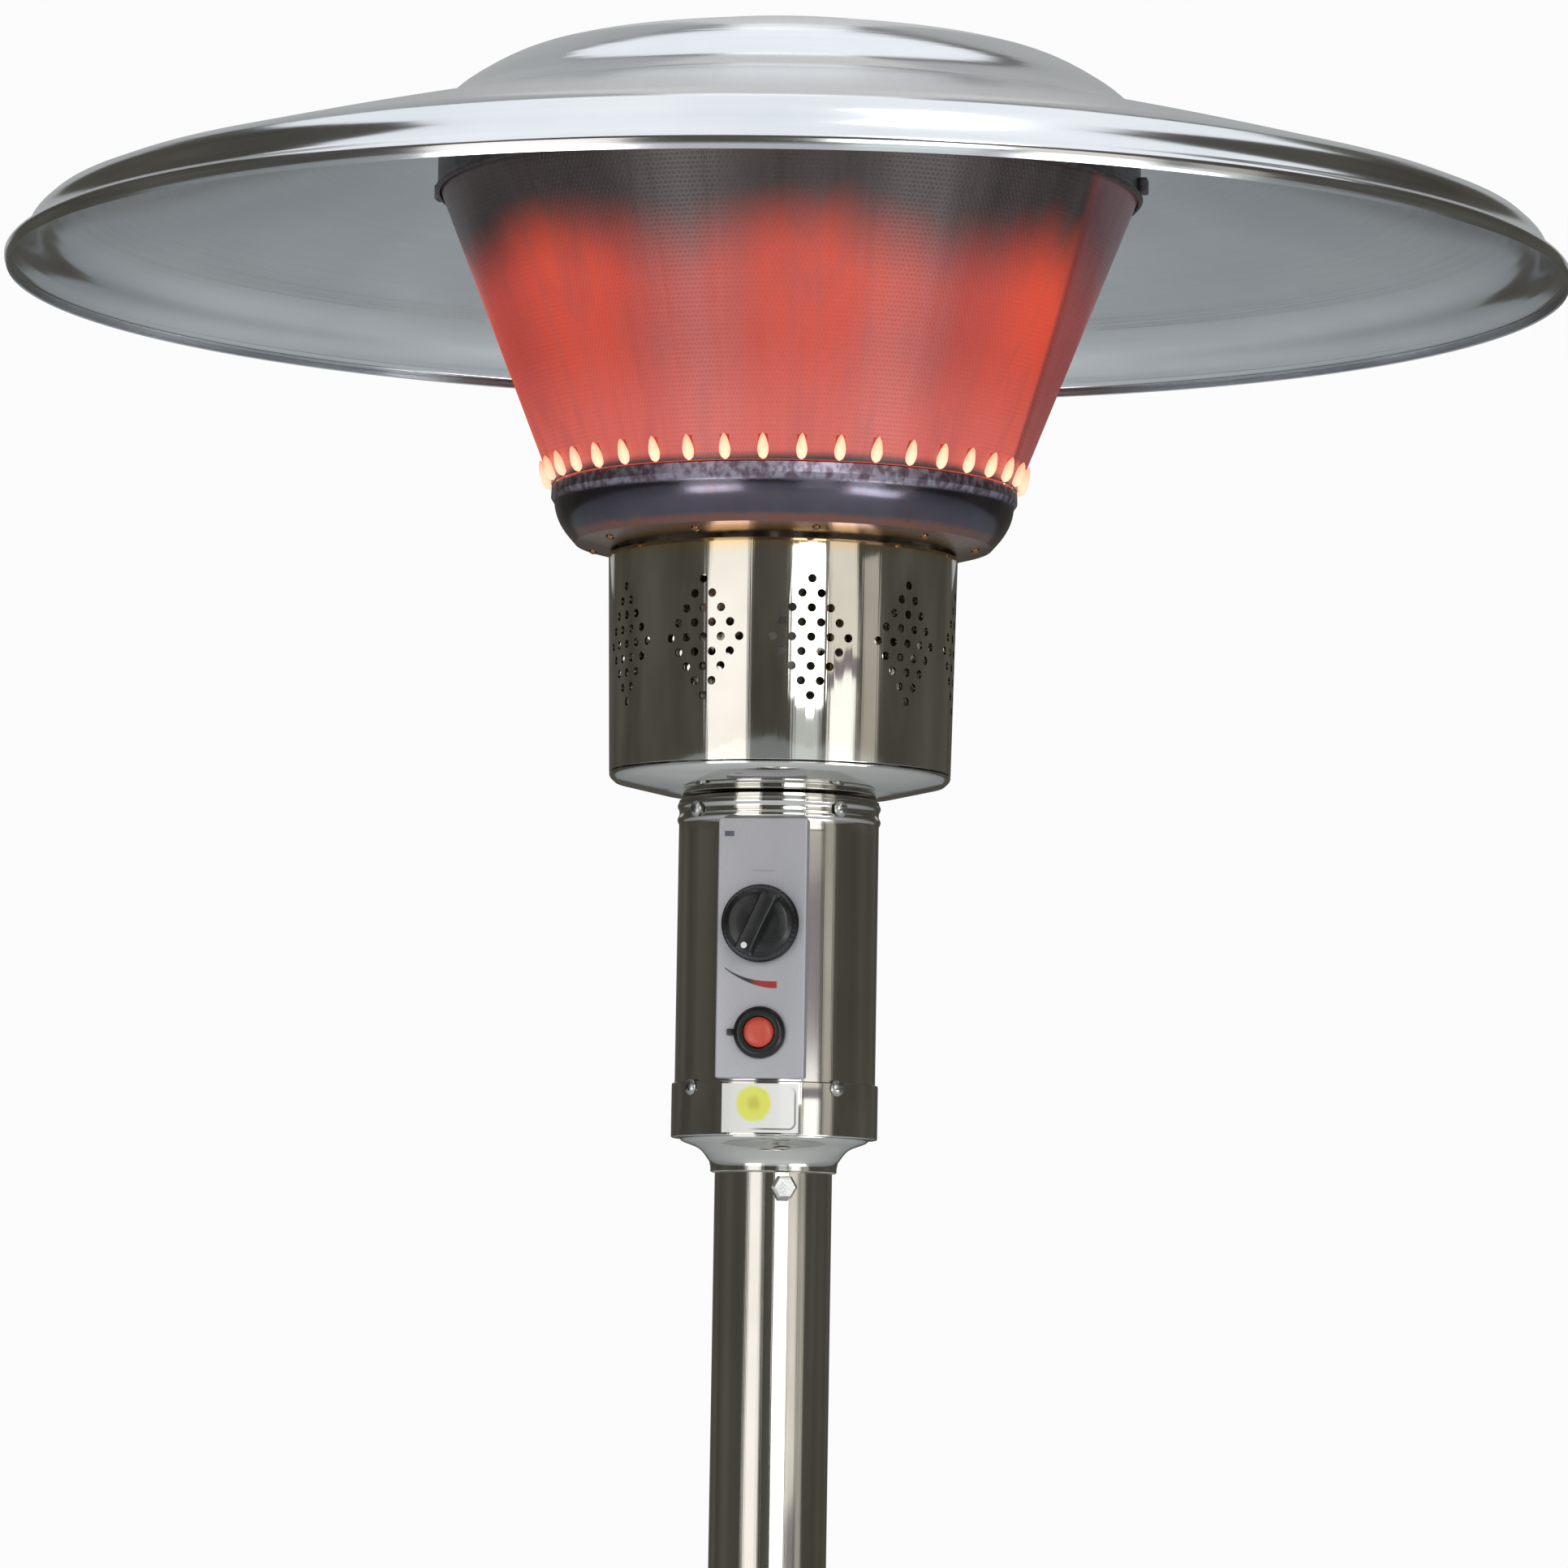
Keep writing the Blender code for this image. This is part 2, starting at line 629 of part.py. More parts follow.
def igniter():
    """Piezo igniter: body behind the panel, threaded bezel and sprung red button."""
    face = PANEL_FACE
    body = rod("igniter_body", 0.0102, 0.0200, 0.0468, black_plastic, sides=24)
    body.location = (0, 0, IGNITER_Z)
    body.rotation_euler = facing(0)
    well = rod("igniter_well", 0.0070, 0.0400, 0.0600, sides=24)
    well.location = (0, 0, IGNITER_Z)
    well.rotation_euler = facing(0)
    boolean(body, well, "DIFFERENCE")

    outline = [
        (0.0082, face + 0.0048),
        (0.0112, face + 0.0048),
        (0.0132, face + 0.0030),
        (0.0135, face + GAP),
        (0.0102, face + GAP),
        (0.0102, 0.0471),
        (0.0082, 0.0471),
    ]
    bezel = turned("igniter_bezel", outline, black_plastic, steps=20)
    bezel.location = (0, 0, IGNITER_Z)
    bezel.rotation_euler = facing(0)
    tab = block("bezel_tab", (-0.0160, -0.0016, face + GAP), (-0.0120, 0.0016, face + 0.0022))
    tab.location = (0, 0, IGNITER_Z)
    tab.rotation_euler = facing(0)
    boolean(bezel, tab, "UNION")

    outline = [
        (0, face + 0.0078),
        (0.0055, face + 0.0076),
        (0.0074, face + 0.0066),
        (0.0078, face + 0.0050),
        (0.0078, face - 0.0030),
        (0.0055, face - 0.0030),
        (0.0055, 0.0455),
        (0, 0.0455),
    ]
    button = turned("igniter_button", outline, red_plastic, steps=20, closed=False)
    button.location = (0, 0, IGNITER_Z)
    button.rotation_euler = facing(0)


def inner_services(valve_foot, pilot_foot):
    """Supply pipe down the post, pilot tube, thermocouple lead, ignition lead and tilt switch."""
    inlet_z = 0.576
    route = [
        (0, STUB_Y, valve_foot - TUBE_GAP),
        (0, STUB_Y + 0.001, valve_foot - 0.005),
        (0, STUB_Y + 0.010, valve_foot - 0.018),
        (0, -0.002, valve_foot - 0.045),
        (0, 0, valve_foot - 0.080),
        (0, 0, 1.10),
        (0, 0, inlet_z + TUBE_GAP),
    ]
    pipe("gas_supply_pipe", route, 0.004, zinc)
    fitting = rod("gas_inlet", 0.0095, inlet_z - 0.016, inlet_z, brass, sides=6)
    thread = rod("inlet_thread", 0.0066, inlet_z - 0.028, inlet_z - 0.010, sides=16)
    boolean(fitting, thread, "UNION")

    valve_top = KNOB_Z + 0.022 + TUBE_GAP
    dish_z = RIM_Z - 0.252
    into_valve = {
        "pilot_gas_tube": (170, 0.0016, 0.0115, brass),
        "thermocouple_lead": (180, 0.0013, -0.0115, brushed),
    }
    for name, (azimuth, radius, foot_x, finish) in into_valve.items():
        top = around(azimuth, PILOT_R, pilot_foot - TUBE_GAP)
        route = [
            top,
            top - Vector((0, 0, 0.020)),
            (top.x, 0.066, top.z - 0.075),
            ((top.x + foot_x) / 2, 0.036, dish_z),
            (foot_x, 0.028, dish_z - 0.023),
            (foot_x, -0.024, valve_top + 0.015),
            (foot_x, -0.024, valve_top),
        ]
        pipe(name, route, radius, finish)
    top = around(190, PILOT_R, pilot_foot - TUBE_GAP)
    route = [
        top,
        top - Vector((0, 0, 0.020)),
        (top.x, 0.066, top.z - 0.075),
        (-0.018, 0.036, dish_z),
        (-0.022, 0.028, dish_z - 0.023),
        (-0.024, 0.006, KNOB_Z),
        (-0.022, -0.003, IGNITER_Z + 0.014),
        (-0.013, -0.011, IGNITER_Z),
        (-0.0075, 0.0012 - 0.0200, IGNITER_Z),
    ]
    pipe("ignition_lead", route, 0.0018, black_plastic)

    switch_z = IGNITER_Z - 0.006
    block("tilt_switch", (-0.014, 0.018, switch_z - 0.016), (0.014, 0.036, switch_z + 0.016), black_plastic, bevel=0.0015)


# Stand


def post_support():
    """Three bent straps that stand round the gas bottle and carry the socket of the post."""
    inside, outside = POST_R + GAP, POST_R + 0.0035
    low, high = POST_FOOT_Z - 0.004, POST_FOOT_Z + 0.058
    socket = [
        (inside, high),
        (outside, high),
        (outside, low),
        (0.0200, low),
        (0.0200, low + 0.0035),
        (inside, low + 0.0035),
    ]
    turned("post_socket", socket, zinc, steps=32)
    strap = 0.004
    foot_z = BASE_H + GAP
    ear_r = outside + GAP
    shoulder_z = 0.505
    outline = [
        (LEG_R + 0.0135, foot_z),
        (LEG_R + 0.0135, foot_z + strap),
        (LEG_R + strap, foot_z + strap),
        (LEG_R + strap, shoulder_z + 0.002),
        (LEG_R - 0.008, shoulder_z + 0.014),
        (ear_r + strap, low + 0.0105),
        (ear_r + strap, high),
        (ear_r, high),
        (ear_r, low + 0.006),
        (LEG_R - 0.010, shoulder_z + 0.009),
        (LEG_R, shoulder_z - 0.001),
        (LEG_R, foot_z),
    ]
    for number, azimuth in enumerate(LEG_AZIMUTHS, 1):
        leg = plate_outline(f"support_leg_{number}", outline, 0.030, zinc)
        leg.rotation_euler = (math.radians(90), 0, math.radians(azimuth - 90))


def base():
    """Pressed steel base over a cast ballast disc."""
    weight_h = 0.014
    outline = [
        (0, weight_h),
        (0.2135, weight_h),
        (0.2150, weight_h - 0.002),
        (0.2150, 0.001),
        (0.2140, 0),
        (0, 0),
    ]
    turned("base_weight", outline, cast_iron, closed=False)
    edge = arc((BASE_R - 0.008, BASE_H - 0.008), 0.008, 90, 0, 3)
    skin = [(0, BASE_H), *edge, (BASE_R, 0.0015)]
    spun_sheet("base_plate", skin, 0.002, polished)


def tank_housing():
    """The sleeve that hides the gas bottle and lifts up the post with its cover."""
    low, high = BASE_H + GAP, 0.562
    outline = [
        (TANK_R - 0.001, high),
        (TANK_R, high),
        (TANK_R, low + 0.020),
        (TANK_R + 0.0015, low + 0.017),
        (TANK_R + 0.0015, low + 0.013),
        (TANK_R, low + 0.010),
        (TANK_R, low),
        (TANK_R - 0.001, low),
    ]
    turned("tank_housing", outline, polished, steps=36)
    lid_r = TANK_R + 0.0018
    collar_r = 0.0375
    line = [
        (collar_r, 0.674),
        (collar_r, 0.664),
        *flowing([(0.046, 0.655), (0.110, 0.618), (0.158, 0.588), (0.176, 0.573), (lid_r, 0.564)], 1),
        (lid_r, 0.548),
    ]
    spun_sheet("tank_cover", line, 0.001, polished, steps=36)


def wheels():
    """Bracket at the back of the base, one axle and two wheels that turn on it."""
    web_y, ear = BASE_R + 0.0005, 0.003
    flange = block("wheel_bracket", (-EAR_X, 0.196, BASE_H + GAP), (EAR_X, web_y + ear, BASE_H + GAP + ear), zinc)
    web = block("bracket_web", (-EAR_X, web_y, 0.016), (EAR_X, web_y + ear, BASE_H + 0.002))
    boolean(flange, web, "UNION")
    bore_r = AXLE_R + GAP
    for side in (-1, 1):
        inner, outer = sorted((side * (EAR_X - ear), side * EAR_X))
        plate = block(f"bracket_ear_{side}", (inner, web_y + 0.001, 0.030), (outer, AXLE_Y + 0.012, AXLE_Z + 0.010))
        boolean(flange, plate, "UNION")
    root = block("ear_root", (-EAR_X, web_y, BASE_H - 0.001), (EAR_X, web_y + ear, BASE_H + 0.0036))
    boolean(flange, root, "UNION")
    bore = rod("ear_bore", bore_r, -0.1, 0.1, sides=24)
    bore.location = (0, AXLE_Y, AXLE_Z)
    bore.rotation_euler = (0, math.radians(90), 0)
    boolean(flange, bore, "DIFFERENCE")

    hub_in = EAR_X + 0.001
    hub_out = hub_in + WHEEL_W
    cap_in = hub_out + 0.001
    outline = [
        (0, cap_in + 0.004),
        (0.005, cap_in + 0.0035),
        (0.007, cap_in + 0.002),
        (0.007, cap_in),
        (AXLE_R, cap_in),
        (AXLE_R, -cap_in),
        (0.007, -cap_in),
        (0.007, -cap_in - 0.002),
        (0.005, -cap_in - 0.0035),
        (0, -cap_in - 0.004),
    ]
    axle = turned("axle", outline, zinc, steps=20, closed=False)
    axle.location = (0, AXLE_Y, AXLE_Z)
    axle.rotation_euler = (0, math.radians(90), 0)

    tyre, web_half = WHEEL_W / 2 - 0.002, 0.004
    section = [
        (bore_r, WHEEL_W / 2),
        (0.012, WHEEL_W / 2),
        (0.012, web_half),
        (WHEEL_R - 0.013, web_half),
        (WHEEL_R - 0.013, tyre),
        (WHEEL_R - 0.003, tyre),
        (WHEEL_R, tyre - 0.004),
        (WHEEL_R, 0.004 - tyre),
        (WHEEL_R - 0.003, -tyre),
        (WHEEL_R - 0.013, -tyre),
        (WHEEL_R - 0.013, -web_half),
        (0.012, -web_half),
        (0.012, -WHEEL_W / 2),
        (bore_r, -WHEEL_W / 2),
    ]
    for name, side in (("wheel_left", -1), ("wheel_right", 1)):
        wheel = turned(name, section, rubber, steps=20)
        wheel.location = (side * (hub_in + WHEEL_W / 2), AXLE_Y, AXLE_Z)
        wheel.rotation_euler = (0, math.radians(90), 0)


reflector()
reflector_fixings()
emitter()
bowl_floor = burner_bowl()
jet_end = burner(bowl_floor)
pilot_end = pilot_group(bowl_floor)
burner_housing()
control_housing()
lower_collar()
neck_and_post()
control_panel()
valve_end = valve(jet_end)
igniter()
inner_services(valve_end, pilot_end)
post_support()
base()
tank_housing()
wheels()
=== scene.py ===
"""Looks of a lit, free-standing gas patio heater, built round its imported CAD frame.

Metres, +Z up, the origin on the floor under the post. The control panel faces -Y.
Azimuths are in degrees from the front (-Y) towards +X.
"""

import json
import math

import bmesh
import bpy
from mathutils import Matrix, Vector


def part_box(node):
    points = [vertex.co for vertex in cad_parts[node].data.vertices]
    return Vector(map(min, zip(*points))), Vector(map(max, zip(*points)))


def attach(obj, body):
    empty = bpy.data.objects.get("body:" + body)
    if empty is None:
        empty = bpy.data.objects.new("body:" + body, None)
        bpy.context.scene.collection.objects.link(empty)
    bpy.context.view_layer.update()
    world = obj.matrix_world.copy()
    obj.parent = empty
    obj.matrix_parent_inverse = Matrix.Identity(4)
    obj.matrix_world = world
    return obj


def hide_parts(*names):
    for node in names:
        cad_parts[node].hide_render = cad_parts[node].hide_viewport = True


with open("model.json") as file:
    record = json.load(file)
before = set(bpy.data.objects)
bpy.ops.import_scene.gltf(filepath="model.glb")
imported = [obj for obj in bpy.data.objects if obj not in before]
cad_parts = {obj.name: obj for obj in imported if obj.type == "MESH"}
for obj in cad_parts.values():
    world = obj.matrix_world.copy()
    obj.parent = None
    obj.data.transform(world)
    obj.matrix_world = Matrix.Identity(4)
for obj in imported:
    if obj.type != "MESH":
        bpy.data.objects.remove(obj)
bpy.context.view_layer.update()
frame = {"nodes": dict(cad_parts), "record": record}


# Places, read from the frame


def top(node):
    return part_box(node)[1].z


def foot(node):
    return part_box(node)[0].z


def middle_z(node):
    return (top(node) + foot(node)) / 2


def reach(node):
    """Radius of a round node that stands on the centre line."""
    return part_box(node)[1].x


RIM_Z = top("reflector") - 0.1238  # the level of the reflector's edge
REFLECTOR_R = reach("reflector")
SHEET = 0.0012  # thickness of the stainless sheet
FIT = 0.0003  # gap between a sleeve and what it slides over
CONE_TOP_R = reach("emitter_screen")
CONE_FOOT_R = 0.121
CONE_TOP_Z, CONE_FOOT_Z = RIM_Z + 0.046, foot("emitter_screen")
HOUSING_TOP_Z, HOUSING_FOOT_Z = top("burner_housing"), foot("burner_housing")
HOUSING_TOP_R, HOUSING_FOOT_R = reach("burner_housing"), 0.0886
CONTROL_R = 0.0518
CONTROL_TOP_Z, CONTROL_FOOT_Z = top("control_housing"), foot("control_housing")
COLLAR_R = reach("lower_collar")
COLLAR_TOP_Z, COLLAR_FOOT_Z = top("lower_collar"), foot("lower_collar")
POST_R = reach("post")
PANEL_LOW, PANEL_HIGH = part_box("control_panel")
PANEL_FACE = -PANEL_LOW.y
PANEL_Z = (PANEL_LOW.z + PANEL_HIGH.z) / 2
KNOB_BACK = -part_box("control_knob")[1].y
KNOB_Z = middle_z("control_knob")
IGNITER_Z = middle_z("igniter_bezel")
TANK_R = 0.180
BASE_R = reach("base_plate")
HOLE_GROUPS = 10  # groups of air holes round the burner housing
FIRST_GROUP = 18  # azimuth of the first group
FLAMES = 40
VIEW_AZIMUTH = 8.5  # where the camera and the studio's softboxes are centred


# Camera and studio


def around(azimuth, radius, z=0.0):
    turn = math.radians(azimuth)
    return Vector((radius * math.sin(turn), -radius * math.cos(turn), z))


def outward_frame(azimuth, radius, z):
    """Turns local +Z outwards and local +Y up, at this place on a round wall."""
    turn = Matrix.Rotation(math.radians(azimuth), 4, "Z") @ Matrix.Rotation(math.radians(90), 4, "X")
    return Matrix.Translation(around(azimuth, radius, z)) @ turn


def camera():
    data = bpy.data.cameras.new("camera")
    data.lens, data.sensor_width = 155.5, 36
    made = bpy.data.objects.new("camera", data)
    bpy.context.scene.collection.objects.link(made)
    pitch, yaw, roll = math.radians(5.0), math.radians(-0.037), math.radians(0.92)
    ahead = Vector((-math.sin(math.radians(VIEW_AZIMUTH)), math.cos(math.radians(VIEW_AZIMUTH)), 0))
    ahead = Matrix.Rotation(yaw, 3, "Z") @ ahead * math.cos(pitch) + Vector((0, 0, math.sin(pitch)))
    made.location = around(VIEW_AZIMUTH, 3.5, RIM_Z - 0.568)
    aim = ahead.to_track_quat("-Z", "Y").to_matrix()
    made.rotation_euler = (aim @ Matrix.Rotation(roll, 3, "Z")).to_euler()
    bpy.context.scene.camera = made


def softbox(name, place, aim, width, height, radiance, tint=(1, 1, 1), in_gloss=True, in_matt=True):
    """A rectangular light of a given radiance that the camera does not see."""
    data = bpy.data.lights.new(name, "AREA")
    data.shape = "RECTANGLE"
    data.size, data.size_y = width, height
    data.energy = math.pi * width * height * radiance
    data.color = tint
    made = bpy.data.objects.new(name, data)
    made.location = place
    made.rotation_euler = (Vector(aim) - Vector(place)).to_track_quat("-Z", "Y").to_euler()
    made.visible_camera = False
    made.visible_glossy = in_gloss
    made.visible_diffuse = in_matt
    bpy.context.scene.collection.objects.link(made)


def upright_box(name, turn, width_deg, low, high, radiance, distance=3.8, tint=(1, 1, 1), in_matt=True):
    """A tall softbox that stands at an angle from the camera's side and faces the heater."""
    middle = (low + high) / 2
    width = 2 * distance * math.tan(math.radians(width_deg / 2))
    place = around(VIEW_AZIMUTH + turn, distance, middle)
    softbox(name, place, (0, 0, middle), width, high - low, radiance, tint, in_matt=in_matt)


def studio():
    upright_box("strip_left", -36, 28, 0.2, 3.6, 1.25, tint=(1, 0.965, 0.93))
    upright_box("strip_middle", 17, 22, 1.72, 3.4, 4.0)
    upright_box("strip_middle_low", 17, 18, 0.2, 1.70, 0.60, tint=(0.92, 1, 1))
    upright_box("strip_right", 41, 20, 2.08, 3.6, 0.85, tint=(1, 0.96, 0.86))
    upright_box("strip_right_gap", 41, 20, 1.87, 2.06, 0.20, tint=(0.95, 0.78, 0.98))
    upright_box("strip_right_low", 41, 18, 0.2, 1.85, 1.5, tint=(1, 0.99, 0.97))
    upright_box("strip_far_right", 61, 12, 0.6, 3.2, 0.42, tint=(1, 0.94, 0.84))
    upright_box("kick_left", -37, 27, 0.22, 0.95, 3.5, distance=3.0, in_matt=False)
    upright_box("kick_right", 48, 28, 0.22, 0.95, 3.5, distance=3.0, in_matt=False)
    upright_box("backdrop_glow", 180, 58, RIM_Z + 0.45, RIM_Z + 4.2, 0.38, tint=(0.93, 0.97, 1))
    upright_box("backdrop_core", 180, 14, RIM_Z + 1.60, RIM_Z + 5.2, 0.7)
    softbox("skirt_block", around(VIEW_AZIMUTH + 30, 1.40, RIM_Z + 2.05), (0, 0, RIM_Z), 0.42, 1.2, 4.5)
    softbox("overhead", (0, 0, 5.2), (0, 0, 0), 4.6, 4.6, 1.05, tint=(0.92, 0.96, 1))
    softbox("fill", around(VIEW_AZIMUTH - 8, 6.0, 2.2), (0, 0, 1.6), 3.0, 3.0, 1.9, in_gloss=False)


def surroundings():
    """White to the camera, and a dim warm-grey room in reflections."""
    world = bpy.data.worlds.new("studio")
    bpy.context.scene.world = world
    world.use_nodes = True
    nodes, links = world.node_tree.nodes, world.node_tree.links
    room = nodes["Background"]
    uneven = nodes.new("ShaderNodeTexNoise")
    uneven.inputs["Scale"].default_value = 2.6
    shade = nodes.new("ShaderNodeMix")
    shade.data_type = "RGBA"
    shade.inputs[6].default_value = (0.030, 0.027, 0.021, 1)
    shade.inputs[7].default_value = (0.135, 0.130, 0.110, 1)
    links.new(uneven.outputs[0], shade.inputs[0])
    links.new(shade.outputs[2], room.inputs["Color"])
    paper = nodes.new("ShaderNodeBackground")
    paper.inputs["Color"].default_value = (0.97, 0.97, 0.97, 1)
    seen = nodes.new("ShaderNodeLightPath")
    pick = nodes.new("ShaderNodeMixShader")
    links.new(seen.outputs["Is Camera Ray"], pick.inputs[0])
    links.new(room.outputs[0], pick.inputs[1])
    links.new(paper.outputs[0], pick.inputs[2])
    links.new(pick.outputs[0], nodes["World Output"].inputs["Surface"])
    bpy.context.scene.view_settings.view_transform = "Standard"


# Finishes


class Wire:
    """A node's output. Python's operators on it add Math nodes."""

    def __init__(self, finish, node, output):
        self.finish, self.node, self.socket = finish, node, node.outputs[output]

    def output(self, name):
        return Wire(self.finish, self.node, name)

    def math(self, operation, other=None, flipped=False):
        ends = [other, self] if flipped else [self, other]
        given = {place: end for place, end in enumerate(ends) if end is not None}
        return self.finish.node("Math", {"operation": operation}, given)

    def __add__(self, other):
        return self.math("ADD", other)

    def __sub__(self, other):
        return self.math("SUBTRACT", other)

    def __rsub__(self, other):
        return self.math("SUBTRACT", other, flipped=True)

    def __mul__(self, other):
        return self.math("MULTIPLY", other)

    def __truediv__(self, other):
        return self.math("DIVIDE", other)

    def __pow__(self, other):
        return self.math("POWER", other)

    def __abs__(self):
        return self.math("ABSOLUTE")

    __radd__ = __add__
    __rmul__ = __mul__

    def step(self, start, end):
        """0 before start and 1 after end, smoothly between them."""
        given = {"Value": self, "From Min": start, "From Max": end}
        return self.finish.node("MapRange", {"interpolation_type": "SMOOTHSTEP"}, given)


class Finish:
    """A procedural material on a Principled shader."""

    def __init__(self, name, constants):
        self.material = bpy.data.materials.new(name)
        self.material.use_nodes = True
        self.tree = self.material.node_tree
        self.shader = self.tree.nodes["Principled BSDF"]
        self.set(constants)

    def feed(self, socket, value):
        if isinstance(value, Wire):
            self.tree.links.new(value.socket, socket)
        elif isinstance(value, tuple) and socket.type == "RGBA":
            socket.default_value = (*value, 1)
        else:
            socket.default_value = value

    def set(self, values):
        for name, value in values.items():
            self.feed(self.shader.inputs[name], value)
        return self.material

    def node(self, kind, settings=None, values=None, output=0):
        made = self.tree.nodes.new("ShaderNode" + kind)
        for name, value in (settings or {}).items():
            setattr(made, name, value)
        for socket, value in (values or {}).items():
            self.feed(made.inputs[socket], value)
        return Wire(self, made, output)

    def place(self):
        return self.node("TexCoord", output="Object")

    def mix(self, share, a, b):
        return self.node("Mix", {"data_type": "RGBA"}, {0: share, 6: a, 7: b}, output=2)

    def noise(self, vector, scale, detail=2.0):
        return self.node("TexNoise", None, {"Vector": vector, "Scale": scale, "Detail": detail})

    def axes(self):
        x = self.node("SeparateXYZ", None, {0: self.place()})
        return x, x.output(1), x.output(2)

    def turned(self):
        """Azimuth in radians from the front, radius and height."""
        x, y, z = self.axes()
        return x.math("ARCTAN2", -1 * y), (x * x + y * y) ** 0.5, z

    def wrapped(self, sideways, upright, outwards=0.0):
        """A point that goes round with the surface, to stretch a pattern along or across a turned piece."""
        x, y, z = self.axes()
        radius = (x * x + y * y) ** 0.5 + 0.0001
        parts = {0: x / radius * sideways, 1: y / radius * sideways, 2: z * upright + radius * outwards}
        return self.node("CombineXYZ", None, parts)

    def relief(self, height, depth, strength=1.0):
        bump = self.node("Bump", None, {"Strength": strength, "Distance": depth, "Height": height})
        return self.set({"Normal": bump})


def spun_aluminium():
    """Bright sheet with the fine rings that spinning leaves, and soft hazy patches."""
    f = Finish("spun_aluminium", {"Metallic": 1.0})
    rings = f.noise(f.wrapped(0.6, 260, 420), 1.0, 3)
    haze = f.noise(f.place(), 7.0, 4)
    tone = f.mix(haze.step(0.30, 0.75), (0.70, 0.72, 0.75), (0.84, 0.85, 0.87))
    tone = f.mix(rings * 0.35, tone, (0.58, 0.60, 0.63))
    f.set({"Base Color": tone, "Roughness": 0.08 + rings * 0.07 + haze * 0.07})
    return f.relief(rings + haze * 0.6, 0.00012)


def steel(name, tone, shade, roughness, gold=False):
    """Polished stainless sheet: faint draw lines, slow waves and wiped patches."""
    f = Finish(name, {"Metallic": 1.0})
    lines = f.noise(f.wrapped(90, 1.2), 1.0, 2)
    waves = f.noise(f.wrapped(2.2, 5.0), 1.0, 1)
    wiped = f.noise(f.place(), 14.0, 3)
    colour = f.mix(wiped.step(0.35, 0.70), tone, shade)
    if gold:  # straw tint where the heat of the burner reaches the sheet
        z = f.axes()[2]
        heat = (z + wiped * 0.006).step(HOUSING_TOP_Z - 0.006, HOUSING_TOP_Z + 0.005)
        colour = f.mix(heat, colour, (0.78, 0.60, 0.32))
    f.set({"Base Color": colour, "Roughness": roughness + lines * 0.05 + wiped.step(0.5, 0.8) * 0.05})
    return f.relief(lines * 0.12 + waves, 0.0006, 0.35)


def brushed_steel():
    """Stainless with a fine brushed grain that runs round the piece."""
    f = Finish("brushed_stainless", {"Metallic": 1.0})
    grain = f.noise(f.wrapped(1.5, 900, 900), 1.0, 3)
    wiped = f.noise(f.place(), 9.0, 3)
    colour = f.mix(grain, (0.50, 0.50, 0.49), (0.70, 0.70, 0.69))
    f.set({"Base Color": colour, "Roughness": 0.24 + grain * 0.12 + wiped * 0.06})
    return f.relief(grain, 0.00008)


def glowing_screen():
    """Perforated screen: black above, red hot in seven lobes below, with painted holes and a cooler seam."""
    f = Finish("glowing_screen", {"Metallic": 0.35, "Emission Strength": 1.0})
    azimuth, _, z = f.turned()
    rise = (z - CONE_FOOT_Z) / (CONE_TOP_Z - CONE_FOOT_Z)
    patches = f.noise(f.wrapped(1.7, 9.0), 1.0, 2)
    blotches = f.noise(f.wrapped(9.0, 26), 1.0, 3)
    streaks = f.noise(f.wrapped(26, 5.0), 1.0, 2)
    column = azimuth * (420 / math.tau)
    row = z / 0.0022
    column = column + row.math("FLOOR") * 0.5
    aside = column.math("FRACT") - 0.5
    above = row.math("FRACT") - 0.5
    hole = 1 - ((aside * aside + above * above) ** 0.5).step(0.20, 0.36)
    lobe = ((azimuth - math.radians(14)) * 7).math("COSINE") * 0.5 + 0.5
    edge = rise + patches * 0.14 + blotches * 0.06 - lobe * 0.06
    warm = (rise + patches * 0.02).step(0.010, 0.045) * (1 - edge.step(0.62, 0.94))
    hot = lobe * (0.35 + rise * 0.65) * (0.55 + patches * 0.9)
    low = 1 - rise.step(0.05, 0.42)
    seam = azimuth - math.radians(79.5) + rise * math.radians(11)
    cool = seam.step(0.0, math.radians(1.5)) * (1 - seam.step(math.radians(32), math.radians(36)))
    line = 1 - abs(seam).step(0.0, math.radians(2.4))
    glow = f.mix(hot, (0.42, 0.040, 0.028), (0.74, 0.060, 0.018))
    glow = f.mix(low * 0.75, glow, (0.68, 0.115, 0.090))
    glow = f.mix(blotches.step(0.45, 0.75) * 0.30, glow, (0.26, 0.030, 0.030))
    glow = f.mix(streaks.step(0.40, 0.80) * 0.22, glow, (0.26, 0.034, 0.034))
    glow = f.mix(hole * 0.16, glow, (0.20, 0.018, 0.014))
    glow = f.mix(warm, (0.010, 0.005, 0.005), glow)
    glow = f.mix(line * 0.70, glow, (0.10, 0.006, 0.006))
    glow = f.mix(cool * 0.62, glow, (0.085, 0.030, 0.040))
    skin = f.mix(streaks * 0.5 + blotches * 0.5, (0.018, 0.014, 0.012), (0.110, 0.092, 0.092))
    f.set({"Base Color": skin, "Emission Color": glow, "Roughness": 0.20 + patches * 0.10 + blotches * 0.10})
    return f.relief(streaks * 0.4 + blotches * 0.5 - hole * 0.5, 0.0005, 0.6)


